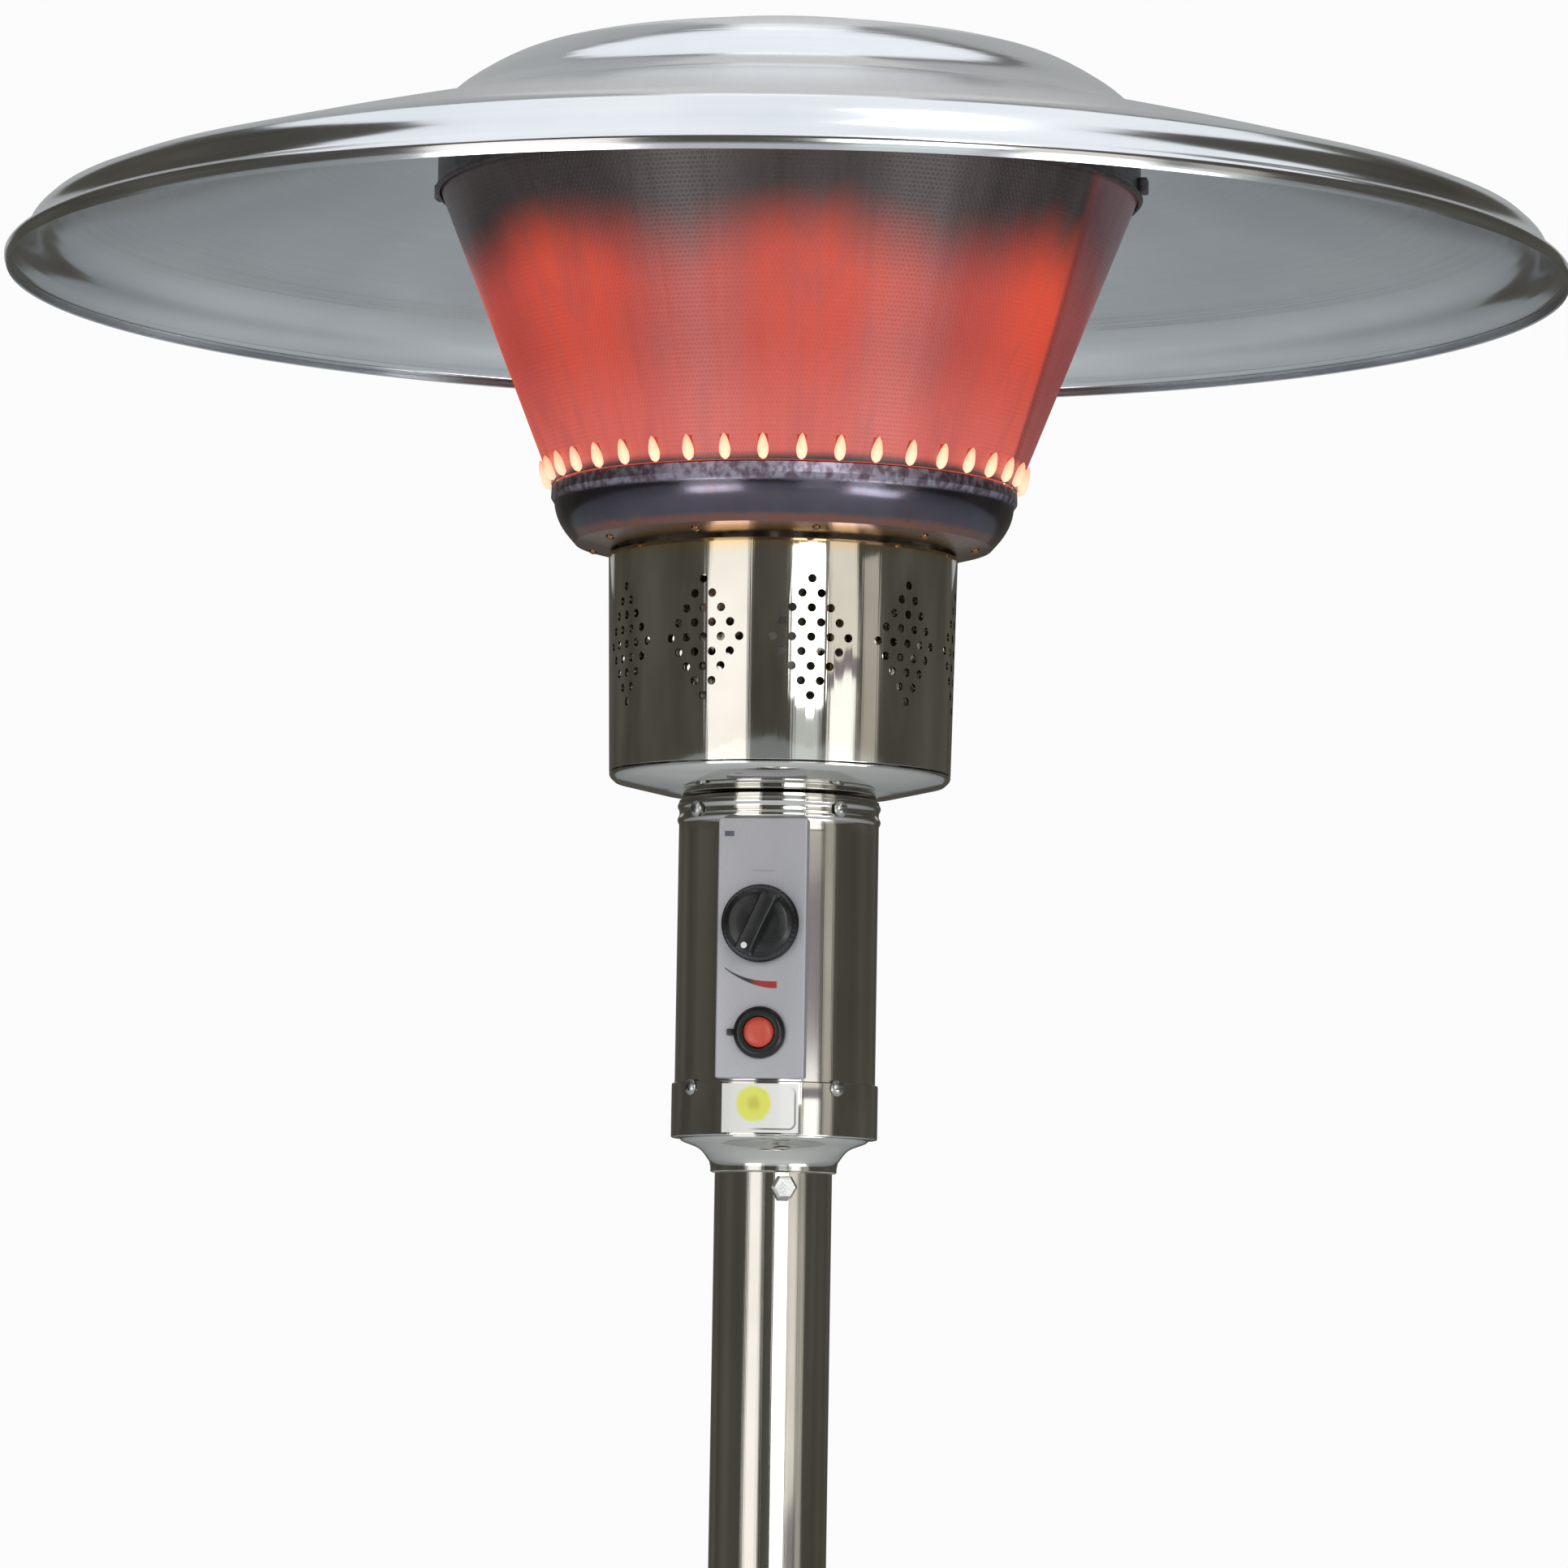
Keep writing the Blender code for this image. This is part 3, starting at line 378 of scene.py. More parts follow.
def heat_tinted():
    """Steel coloured by heat: a mottled lilac flange, dark gloss below it, brown at the lower edge."""
    f = Finish("heat_tinted_steel", {"Metallic": 1.0})
    z = f.axes()[2]
    mottle = f.noise(f.wrapped(30, 210), 1.0, 3)
    drift = f.noise(f.wrapped(3.0, 30), 1.0, 2)
    ring_low, ring_high = RIM_Z - 0.1385, RIM_Z - 0.1085
    fall = ring_high - z + (mottle - 0.5) * 0.003
    flange = 1 - fall.step(0.0080, 0.0105)
    gloss = f.mix(drift, (0.085, 0.075, 0.095), (0.175, 0.165, 0.215))
    gloss = f.mix(mottle.step(0.50, 0.72) * 0.35, gloss, (0.16, 0.10, 0.10))
    crust = f.mix(mottle.step(0.36, 0.64), (0.175, 0.125, 0.165), (0.40, 0.365, 0.46))
    colour = f.mix(flange, gloss, crust)
    colour = f.mix(fall.step(0.0245, 0.0275) * 0.9, colour, (0.30, 0.145, 0.115))
    brown = 1 - (z + drift * 0.002).step(ring_low - 0.0005, ring_low + 0.0012)
    colour = f.mix(brown, colour, (0.27, 0.145, 0.070))
    f.set({"Base Color": colour, "Roughness": 0.13 + flange * 0.22 + mottle * 0.12})
    return f.relief(mottle * flange + mottle * 0.15, 0.0005, 0.5)


def flame():
    """A small gas flame: pale peach at its root, orange at its tip."""
    f = Finish("flame", {"Roughness": 0.9, "Emission Strength": 1.0, "Base Color": (0.9, 0.5, 0.3)})
    z = f.axes()[2]
    flicker = f.noise(f.place(), 190.0, 1)
    tip = (z + flicker * 0.006).step(CONE_FOOT_Z + 0.004, CONE_FOOT_Z + 0.019)
    return f.set({"Emission Color": f.mix(tip, (0.92, 0.56, 0.40), (0.78, 0.17, 0.09))})


def panel_paint():
    """Satin lilac-grey paint with plain generic marks: a short bar, a dash, and a tapered heat scale."""
    f = Finish("panel_grey", {"Metallic": 0.25})
    x, _, z = f.axes()
    speck = f.noise(f.place(), 900.0, 2)
    cloud = f.noise(f.place(), 30.0, 2)
    colour = f.mix(cloud, (0.42, 0.425, 0.465), (0.49, 0.49, 0.53))
    colour = f.mix(speck.step(0.55, 0.75) * 0.35, colour, (0.33, 0.33, 0.37))

    def bar(middle_x, middle_z, half_w, half_h):
        wide = 1 - abs(x - middle_x).step(half_w - 0.0004, half_w + 0.0004)
        tall = 1 - abs(z - middle_z).step(half_h - 0.0003, half_h + 0.0003)
        return wide * tall

    badge = bar(PANEL_LOW.x + 0.0057, PANEL_HIGH.z - 0.0081, 0.0025, 0.0014)
    dash = bar(0.0006, PANEL_HIGH.z - 0.0270, 0.0055, 0.0004)
    scale_x, scale_z, scale_r = 0.0070, KNOB_Z + 0.0120, 0.0430
    away = (((x - scale_x) * (x - scale_x) + (z - scale_z) * (z - scale_z)) ** 0.5) - scale_r
    along = x.step(-0.019, 0.008)
    wedge = (1 - (abs(away) / (along * 0.0016 + 0.0003)).step(0.75, 1.15)) * (1 - x.step(0.0078, 0.0090))
    wedge = wedge * x.step(-0.0190, -0.0180) * (1 - z.step(KNOB_Z - 0.012, KNOB_Z - 0.010))
    ink = f.mix(along.step(0.45, 0.75), (0.035, 0.045, 0.045), (0.36, 0.035, 0.030))
    colour = f.mix(badge * 0.85, colour, (0.05, 0.06, 0.09))
    colour = f.mix(dash * 0.5, colour, (0.20, 0.26, 0.24))
    colour = f.mix(wedge, colour, ink)
    f.set({"Base Color": colour, "Roughness": 0.36 + speck * 0.14})
    return f.relief(speck + cloud * 0.4, 0.00006)


def moulded(name, tone, worn, roughness, grain=0.00005):
    """Moulded plastic: a fine eggshell grain, with its high spots rubbed a little."""
    f = Finish(name, {})
    grains = f.noise(f.place(), 1500.0, 2)
    rubbed = f.noise(f.place(), 85.0, 3)
    colour = f.mix(rubbed.step(0.50, 0.78), tone, worn)
    f.set({"Base Color": colour, "Roughness": roughness + grains * 0.12 + rubbed * 0.08})
    return f.relief(grains, grain)


def label_paper():
    """White film with a soft yellow disc and a grey line round its edge."""
    f = Finish("label_film", {"Coat Weight": 0.3})
    azimuth, _, z = f.turned()
    x = azimuth * COLLAR_R
    middle = (COLLAR_TOP_Z + COLLAR_FOOT_Z) / 2
    fray = f.noise(f.place(), 420.0, 3)
    x_off, z_off = x + 0.0030, z - middle - 0.0022
    away = (x_off * x_off + z_off * z_off) ** 0.5 + (fray - 0.5) * 0.0030
    colour = f.mix(1 - away.step(0.0078, 0.0102), (0.90, 0.90, 0.88), (0.86, 0.88, 0.14))
    colour = f.mix((1 - away.step(0.0010, 0.0055)) * 0.65, colour, (0.58, 0.53, 0.05))
    corner_x = (abs(x) - (LABEL_W / 2 - 0.0052)).math("MAXIMUM", 0.0)
    corner_z = (abs(z - middle) - (LABEL_H / 2 - 0.0052)).math("MAXIMUM", 0.0)
    edge = abs((corner_x * corner_x + corner_z * corner_z) ** 0.5 - 0.0034)
    border = (1 - edge.step(0.0002, 0.0007)) * (x + z * -1.0 + middle).step(0.004, 0.014)
    colour = f.mix(border * 0.85, colour, (0.10, 0.10, 0.10))
    f.set({"Base Color": colour, "Roughness": 0.35 + fray * 0.2})
    return f.relief(fray, 0.00004)


def metal(name, tone, shade, roughness, scale, grain=0.0002, metallic=1.0):
    """Plated, cast or turned metal with a crystalline or pitted surface."""
    f = Finish(name, {"Metallic": metallic})
    spangle = f.node("TexVoronoi", None, {"Vector": f.place(), "Scale": scale}, output="Color")
    bright = f.node("SeparateXYZ", None, {0: spangle})
    pits = f.noise(f.place(), scale * 6, 3)
    f.set({"Base Color": f.mix(bright * 0.6 + pits * 0.4, tone, shade), "Roughness": roughness + pits * 0.18})
    return f.relief(pits, grain, 0.5)


def floor_paper():
    f = Finish("floor_paper", {})
    weave = f.noise(f.place(), 60.0, 3)
    f.set({"Emission Color": (0.80, 0.92, 1.0), "Emission Strength": 0.20})
    colour = f.mix(weave, (0.70, 0.70, 0.70), (0.74, 0.74, 0.73))
    f.set({"Base Color": colour, "Roughness": 0.75 + weave * 0.1})
    return f.material


LABEL_W, LABEL_H = 0.0405, COLLAR_TOP_Z - COLLAR_FOOT_Z - 0.0030

ALUMINIUM = spun_aluminium()
POLISHED = steel("polished_stainless", (0.72, 0.71, 0.68), (0.64, 0.63, 0.60), 0.05)
TINTED_HOUSING = steel("straw_tinted_stainless", (0.74, 0.73, 0.69), (0.66, 0.64, 0.59), 0.04, gold=True)
BRUSHED = brushed_steel()
GLOW = glowing_screen()
HEAT = heat_tinted()
FLAME = flame()
SCORCHED = metal("scorched_steel", (0.045, 0.040, 0.040), (0.120, 0.105, 0.105), 0.34, 260)
PANEL = panel_paint()
BLACK = moulded("black_plastic", (0.010, 0.011, 0.012), (0.030, 0.032, 0.034), 0.20)
RED = moulded("red_plastic", (0.62, 0.075, 0.045), (0.70, 0.12, 0.08), 0.26)
WHITE = moulded("white_paint", (0.80, 0.80, 0.80), (0.70, 0.70, 0.70), 0.40)
LABEL = label_paper()
ZINC = metal("zinc_plated_steel", (0.40, 0.41, 0.40), (0.56, 0.56, 0.54), 0.22, 160)
IRON = metal("cast_iron", (0.035, 0.035, 0.036), (0.075, 0.072, 0.070), 0.55, 420, 0.0005, 0.5)
BRASS = metal("brass", (0.70, 0.50, 0.20), (0.80, 0.62, 0.30), 0.22, 260)
CERAMIC = metal("ceramic", (0.82, 0.79, 0.72), (0.88, 0.86, 0.81), 0.35, 700, 0.00005, 0.0)
RUBBER = moulded("wheel_rubber", (0.018, 0.018, 0.018), (0.045, 0.043, 0.040), 0.62, 0.0002)


# Forms


def flowing(points, steps):
    """A smooth curve through the points (Catmull-Rom), with this many steps to each span."""
    ends = [points[0], *points, points[-1]]
    line = []
    for a, b, c, d in zip(ends, ends[1:], ends[2:], ends[3:]):
        for step in range(steps):
            t = step / steps
            weights = (
                (-t + 2 * t**2 - t**3) / 2,
                (2 - 5 * t**2 + 3 * t**3) / 2,
                (t + 4 * t**2 - 3 * t**3) / 2,
                (t**3 - t**2) / 2,
            )
            line.append(tuple(sum(w * p[i] for w, p in zip(weights, (a, b, c, d))) for i in range(2)))
    line.append(tuple(points[-1]))
    return line


def eased(outline, size, closed=False, steps=3):
    """The outline with each corner rounded by a small curve."""
    count = len(outline)
    line = []
    for i, corner in enumerate(outline):
        if not closed and i in (0, count - 1):
            line.append(corner)
            continue
        here = Vector(corner)
        legs = [Vector(outline[(i + side) % count]) - here for side in (-1, 1)]
        start, end = [here + leg.normalized() * min(size, leg.length * 0.42) for leg in legs]
        for step in range(steps + 1):
            t = step / steps
            line.append(tuple(start * (1 - t) ** 2 + here * 2 * t * (1 - t) + end * t**2))
    return line


def lathe(outline, steps=96, closed=False):
    """The outline of radius and height, run down its outer side, spun round the Z axis."""
    form = bmesh.new()
    verts = [form.verts.new((r, 0, h)) for r, h in outline]
    edges = [form.edges.new(pair) for pair in zip(verts, verts[1:])]
    if closed:
        edges.append(form.edges.new((verts[-1], verts[0])))
    bmesh.ops.spin(
        form, geom=verts + edges, cent=(0, 0, 0), axis=(0, 0, 1), angle=math.tau, steps=steps, use_merge=True
    )
    bmesh.ops.remove_doubles(form, verts=form.verts, dist=1e-6)
    bmesh.ops.recalc_face_normals(form, faces=form.faces)
    if not closed:
        (ra, ha), (rb, hb) = next(s for s in zip(outline, outline[1:]) if s[0][0] + s[1][0] > 0.001)
        out = Vector((ha - hb, rb - ra))
        middle = Vector(((ra + rb) / 2, (ha + hb) / 2))

        def apart(face):
            centre = face.calc_center_median()
            return (Vector((centre.xy.length, centre.z)) - middle).length

        near = min(form.faces, key=apart)
        centre = near.calc_center_median()
        if near.normal.dot(centre.xy.normalized().to_3d() * out.x + Vector((0, 0, out.y))) < 0:
            bmesh.ops.reverse_faces(form, faces=form.faces)
    return form


def box(low, high, edge=0.0, segments=2):
    form = bmesh.new()
    bmesh.ops.create_cube(form, size=1)
    low, high = Vector(low), Vector(high)
    bmesh.ops.scale(form, verts=form.verts, vec=high - low)
    bmesh.ops.translate(form, verts=form.verts, vec=(low + high) / 2)
    if edge:
        soften(form, form.edges[:], edge, segments)
    return form


def soften(form, edges, width, segments=2):
    bmesh.ops.bevel(
        form, geom=edges, offset=width, segments=segments, affect="EDGES", profile=0.5, material=-1
    )


def add(form, extra, place=None):
    """Joins the second form into the first, moved by a matrix, and frees it."""
    if place is not None:
        bmesh.ops.transform(extra, matrix=place, verts=extra.verts)
    loose = bpy.data.meshes.new("loose")
    extra.to_mesh(loose)
    extra.free()
    form.from_mesh(loose)
    bpy.data.meshes.remove(loose)
    return form


def piece(name, form, finishes, body="stand", stands_for=(), slot=None, crease=32):
    """Makes the form a mesh at the origin, with its finish, its body and the nodes it stands for."""
    mesh = bpy.data.meshes.new(name)
    form.to_mesh(mesh)
    form.free()
    mesh.shade_smooth()
    mesh.set_sharp_from_angle(angle=math.radians(crease))
    for finish in finishes if isinstance(finishes, (list, tuple)) else [finishes]:
        mesh.materials.append(finish)
    made = bpy.data.objects.new(name, mesh)
    bpy.context.scene.collection.objects.link(made)
    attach(made, body)
    if stands_for:
        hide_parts(*([stands_for] if isinstance(stands_for, str) else stands_for))
    return made


def walled(form, thickness):
    """Gives an open sheet its thickness, inwards from its skin."""
    bmesh.ops.solidify(form, geom=form.faces[:], thickness=thickness)
    return form


def cut(form, tool):
    """The form with the tool's form taken away."""
    meshes = []
    for part in (form, tool):
        mesh = bpy.data.meshes.new("cut")
        part.to_mesh(mesh)
        part.free()
        meshes.append(mesh)
    solid, cutter = [bpy.data.objects.new("cut", mesh) for mesh in meshes]
    for part in (solid, cutter):
        bpy.context.scene.collection.objects.link(part)
    change = solid.modifiers.new("cut", "BOOLEAN")
    change.object, change.solver, change.operation = cutter, "EXACT", "DIFFERENCE"
    change.use_self = True
    evaluated = solid.evaluated_get(bpy.context.evaluated_depsgraph_get())
    result = bmesh.new()
    result.from_mesh(evaluated.to_mesh())
    evaluated.to_mesh_clear()
    for part in (solid, cutter):
        bpy.data.objects.remove(part)
    for mesh in meshes:
        bpy.data.meshes.remove(mesh)
    return result


# Head


def reflector():
    """One spun sheet: a well, a rolled crown, a dome, a wide brim, a steep skirt and a flared hem."""
    crown = flowing([(0.072, 0.1130), (0.082, 0.1210), (0.0895, 0.1238), (0.097, 0.1222), (0.106, 0.1188)], 5)
    dome = flowing([(0.120, 0.1172), (0.147, 0.1115), (0.170, 0.0990), (0.186, 0.0862), (0.204, 0.0770)], 5)
    brim = flowing([(0.230, 0.0704), (0.300, 0.0520), (0.374, 0.0312)], 4)
    skirt = flowing([(0.386, 0.0262), (0.3925, 0.0200), (0.3965, 0.0125), (0.4000, 0.0080)], 3)
    hem = flowing([(0.4045, 0.0060), (REFLECTOR_R, 0.0035), (REFLECTOR_R, 0.0005), (0.4055, -0.0025)], 3)
    line = [(0, 0.113), (0.030, 0.113), (0.0665, 0.113), *crown, *dome, *brim, *skirt, *hem]
    form = lathe([(r, RIM_Z + h) for r, h in line], steps=192)
    piece("reflector_sheet", walled(form, SHEET), ALUMINIUM, stands_for="reflector", slot="spun_aluminium")


def screen():
    """The glowing cone with its row of upright slots, and one small flame behind each slot."""
    columns = FLAMES * 4
    rise = CONE_TOP_Z - CONE_FOOT_Z
    slot_low, slot_high = 0.0015, 0.0120

    def cone_r(height):
        return CONE_FOOT_R + (CONE_TOP_R - CONE_FOOT_R) * height / rise

    heights = [rise * i / 20 for i in range(20, 2, -1)] + [slot_high, slot_low, 0.0]
    collar = [(CONE_TOP_R, CONE_TOP_Z + 0.0135), (CONE_TOP_R, CONE_TOP_Z + 0.004)]
    form = lathe([*collar, *((cone_r(h), CONE_FOOT_Z + h) for h in heights)], steps=columns)
    open_faces = []
    for face in form.faces:
        centre = face.calc_center_median()
        column = int(round(math.degrees(math.atan2(centre.y, centre.x)) * columns / 360 - 0.5)) % columns
        if column % 4 == 1 and slot_low < centre.z - CONE_FOOT_Z < slot_high:
            open_faces.append(face)
    bmesh.ops.delete(form, geom=open_faces, context="FACES")
    form = walled(form, 0.0010)
    piece("emitter_glow", form, GLOW, stands_for="emitter_screen", slot="emitter_steel", crease=50)

    flames = bmesh.new()
    lean = math.atan2(CONE_TOP_R - CONE_FOOT_R, rise)
    outline = [(0, 0.0138), (0.0014, 0.0120), (0.0025, 0.0082), (0.0029, 0.0048), (0.0020, 0.0014), (0, 0)]
    step = math.tau / FLAMES
    for number in range(FLAMES):
        turn = Matrix.Rotation(step * (number + 3 / 8), 4, "Z")
        stand = Matrix.Translation((cone_r(0.0045) - 0.0004, 0, CONE_FOOT_Z - 0.0004))
        tilt = Matrix.Rotation(lean, 4, "Y")
        add(flames, lathe(flowing(outline, 2), steps=10), turn @ stand @ tilt)
    piece("flames", flames, FLAME, slot="emitter_steel", crease=80)


def screen_band():
    """The dark rolled band at the screen's top, with four small lugs."""
    inner, outer = CONE_TOP_R + 0.0003, CONE_TOP_R + 0.0015
    low, high = foot("emitter_band"), top("emitter_band")
    outline = [
        (inner, high),
        (outer, high),
        (outer, low + 0.0034),
        (outer + 0.0015, low + 0.0017),
        (outer, low),
        (inner, low),
    ]
    form = lathe(eased(outline, 0.0005, closed=True), steps=144, closed=True)
    for azimuth in range(0, 360, 90):
        lug = box((-0.005, -0.004, -0.0004), (0.005, 0.004, 0.0046), 0.0009)
        add(form, lug, outward_frame(azimuth, outer, low + 0.006))
    piece("emitter_top_band", form, SCORCHED, stands_for="emitter_band", slot="heat_tinted_steel")


def heat_ring():
    """The tinted pan under the screen: a rolled flange, a slanted wall, and an underside held by rivets."""
    rim_z, floor_z = top("burner_bowl"), HOUSING_TOP_Z + 0.0018
    flange = [(0.1192, rim_z), (0.1212, rim_z - 0.0008), (0.1214, rim_z - 0.0060), (0.1202, rim_z - 0.0078)]
    wall = [(0.1196, -0.0088), (0.1190, -0.0125), (0.1172, -0.0178), (0.1136, -0.0236), (0.1085, -0.0295)]
    wall = [(r, rim_z + h) for r, h in flowing(wall, 3)]
    line = [*flange, *wall, (0.0925, floor_z), (0.0180, floor_z)]
    form = walled(lathe(line, steps=120), 0.0015)
    slope = math.atan2(RIM_Z - 0.1380 - floor_z, 0.0160)
    for number in range(HOLE_GROUPS):
        turn = Matrix.Rotation(math.radians(FIRST_GROUP + 36 * number), 4, "Z")
        seat = Matrix.Translation((0, -0.1005, (RIM_Z - 0.1380 + floor_z) / 2))
        flip = Matrix.Rotation(math.pi - slope, 4, "X")
        rivet = [(0, 0.0016), (0.0014, 0.0013), (0.0022, 0.0006), (0.0024, -0.0006), (0, -0.0006)]
        add(form, lathe(rivet, steps=14), turn @ seat @ flip)
    piece("burner_heat_ring", form, HEAT, stands_for="burner_bowl", slot="heat_tinted_steel")


def perforated_housing():
    """The polished cylinder, with ten diamonds of twenty-five punched air holes."""
    wall = [
        (HOUSING_TOP_R - SHEET, HOUSING_TOP_Z),
        (HOUSING_TOP_R, HOUSING_TOP_Z),
        (HOUSING_FOOT_R, HOUSING_FOOT_Z),
        (HOUSING_FOOT_R - SHEET, HOUSING_FOOT_Z),
    ]
    form = lathe(eased(wall, 0.0004, closed=True, steps=2), steps=240, closed=True)
    middle_z = RIM_Z - 0.1944
    row_pitch, hole_pitch, hole_r, rows = 0.00744, 0.0098, 0.00225, 4
    wall_r = (HOUSING_TOP_R + HOUSING_FOOT_R) / 2
    punches = bmesh.new()
    for group in range(HOLE_GROUPS):
        for row in range(-rows, rows + 1):
            in_row = rows + 1 - abs(row)
            for hole in range(in_row):
                aside = (hole - (in_row - 1) / 2) * hole_pitch
                azimuth = FIRST_GROUP + 36 * group + math.degrees(aside / wall_r)
                place = outward_frame(azimuth, wall_r, middle_z + row * row_pitch)
                bmesh.ops.create_cone(
                    punches,
                    cap_ends=True,
                    segments=14,
                    radius1=hole_r,
                    radius2=hole_r,
                    depth=0.012,
                    matrix=place,
                )
    form = cut(form, punches)
    piece("perforated_housing", form, TINTED_HOUSING, stands_for="burner_housing", slot="polished_stainless")


def housing_dish():
    """The rounded dish that closes the burner housing below and steps down to the control housing."""
    corner = [
        (HOUSING_FOOT_R, HOUSING_FOOT_Z - 0.0008),
        (HOUSING_FOOT_R - 0.0006, HOUSING_FOOT_Z - 0.0027),
        (HOUSING_FOOT_R - 0.0030, HOUSING_FOOT_Z - 0.0050),
    ]
    neck_r = CONTROL_R - SHEET - FIT
    line = [
        *flowing(corner, 3),
        (0.0620, RIM_Z - 0.2675),
        (neck_r + 0.002, RIM_Z - 0.2688),
        (neck_r, RIM_Z - 0.2704),
        (neck_r, RIM_Z - 0.2860),
    ]
    form = walled(lathe(line, steps=144), SHEET)
    piece("burner_housing_dish", form, POLISHED, stands_for="housing_base", slot="polished_stainless")


def control_tube():
    """The tube behind the panel, with two rolled beads at its top."""
    line = [(CONTROL_R, CONTROL_TOP_Z)]
    for height in (0.0030, 0.0100):
        middle = CONTROL_TOP_Z - height
        line += [(CONTROL_R, middle + 0.0024), (CONTROL_R + 0.0009, middle), (CONTROL_R, middle - 0.0024)]
    line = [line[0], *flowing(line[1:], 4), (CONTROL_R, PANEL_HIGH.z - 0.006)]
    line += [(CONTROL_R, PANEL_LOW.z + 0.006), (CONTROL_R, CONTROL_FOOT_Z)]
    form = lathe(line, steps=144)
    window = math.radians(20)
    open_faces = []
    for face in form.faces:
        centre = face.calc_center_median()
        facing_panel = abs(math.atan2(centre.x, -centre.y)) < window
        if facing_panel and PANEL_LOW.z + 0.006 < centre.z < PANEL_HIGH.z - 0.006:
            open_faces.append(face)
    bmesh.ops.delete(form, geom=open_faces, context="FACES")
    form = walled(form, SHEET)
    piece("control_tube", form, POLISHED, stands_for="control_housing", slot="polished_stainless")


def collar():
    inner = CONTROL_R + FIT
    outline = [
        (inner, COLLAR_TOP_Z),
        (COLLAR_R, COLLAR_TOP_Z),
        (COLLAR_R, COLLAR_FOOT_Z),
        (0.0496, COLLAR_FOOT_Z),
        (0.0496, COLLAR_FOOT_Z + SHEET),
        (inner, COLLAR_FOOT_Z + SHEET),
    ]
    form = lathe(eased(outline, 0.0010, closed=True), steps=144, closed=True)
    piece("collar_ring", form, POLISHED, stands_for="lower_collar", slot="polished_stainless")


def cross_screw():
    """A pan head with a cross recess and a short shank, along +Z from its seat."""
    dome = [(0, 0.0026), (0.0016, 0.0025), (0.0030, 0.0019), (0.0039, 0.0010), (0.0042, 0.0003)]
    head = lathe([*flowing(dome, 2), (0.0019, 0.0003), (0.0019, -0.0060), (0, -0.0060)], steps=28)
    slots = box((-0.0023, -0.00045, 0.0012), (0.0023, 0.00045, 0.0040))
    head = cut(head, slots)
    return cut(head, box((-0.00045, -0.0023, 0.0012), (0.00045, 0.0023, 0.0040)))


def head_screws():
    """Four screws in the control housing and four in the collar."""
    rows = (("housing_screw", RIM_Z - 0.2780, CONTROL_R + 0.0010), ("collar_screw", RIM_Z - 0.4210, COLLAR_R))
    for name, z, radius in rows:
        for number in range(4):
            form = cross_screw()
            twist = Matrix.Rotation(math.radians(20 + 37 * number), 4, "Z")
            place = outward_frame(45 + 90 * number, radius, z) @ twist
            bmesh.ops.transform(form, matrix=place, verts=form.verts)
            node = f"{name}_{number + 1}"
            piece(f"{name}_head_{number + 1}", form, ZINC, stands_for=node, slot="brushed_stainless")


def neck():
    """The trumpet from the collar down to the post, ending in a short rolled sleeve."""
    high = top("flared_neck")
    sleeve = POST_R + FIT + SHEET
    flare = [(0.0486, high), (0.0478, high - 0.0030), (0.0385, high - 0.0070), (0.0332, high - 0.0135)]
    bead_r = sleeve + 0.0008
    line = [*flowing(flare, 5), (bead_r, high - 0.0165), (bead_r, high - 0.0185), (sleeve, high - 0.0190)]
    form = walled(lathe(line, steps=120), SHEET)
    piece("neck_trumpet", form, POLISHED, stands_for="flared_neck", slot="polished_stainless")


def post():
    low, high = foot("post"), top("post")
    bore = POST_R - 0.0015
    outline = [(bore, high), (POST_R, high), (POST_R, low), (bore, low)]
    form = lathe(eased(outline, 0.0004, closed=True, steps=2), steps=120, closed=True)
    piece("post_tube", form, POLISHED, stands_for="post", slot="polished_stainless")


def lock_bolt():
    """A hexagon bolt with a chamfered head and a washer face."""
    low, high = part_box("lock_bolt")
    middle = (low + high) / 2
    azimuth, z = math.degrees(math.atan2(middle.x, -middle.y)), middle.z
    head = [(0, 0.0050), (0.0054, 0.0050), (0.0066, 0.0042), (0.0066, 0.0008), (0.0058, 0.0003), (0, 0.0003)]
    form = lathe(head, steps=6)
    add(form, lathe([(0, 0.0008), (0.0040, 0.0008), (0.0040, -0.0100), (0, -0.0100)], steps=24))
    bmesh.ops.transform(form, matrix=outward_frame(azimuth, POST_R, z), verts=form.verts)
    piece("lock_bolt_head", form, ZINC, stands_for="lock_bolt", slot="zinc_plated_steel", crease=25)


# Controls


def panel():
    """A shallow painted tray with a rounded front edge, two bores, and its back cut to the round housing."""
    form = box((PANEL_LOW.x, -PANEL_FACE, PANEL_LOW.z), (PANEL_HIGH.x, -0.045, PANEL_HIGH.z))
    upright = [e for e in form.edges if abs(e.verts[0].co.y - e.verts[1].co.y) > 0.001]
    soften(form, upright, 0.0012, 3)
    front = [e for e in form.edges if all(v.co.y < 0.0001 - PANEL_FACE for v in e.verts)]
    soften(form, front, 0.0009, 3)
    edge = 0.0016
    hollow = box(
        (PANEL_LOW.x + edge, 0.0015 - PANEL_FACE, PANEL_LOW.z + edge),
        (PANEL_HIGH.x - edge, -0.030, PANEL_HIGH.z - edge),
    )
    form = cut(form, hollow)
    back_r = CONTROL_R + FIT
    housing = [(0, PANEL_Z + 0.1), (back_r, PANEL_Z + 0.1), (back_r, PANEL_Z - 0.1), (0, PANEL_Z - 0.1)]
    form = cut(form, lathe(housing, steps=144))
    for z, radius in ((KNOB_Z, 0.0084), (IGNITER_Z, 0.0108)):
        drill = lathe([(0, 0.060), (radius, 0.060), (radius, 0.040), (0, 0.040)], steps=40)
        bmesh.ops.transform(drill, matrix=outward_frame(0, 0, z), verts=drill.verts)
        form = cut(form, drill)
    piece("panel_tray", form, PANEL, stands_for="control_panel", slot="panel_grey")


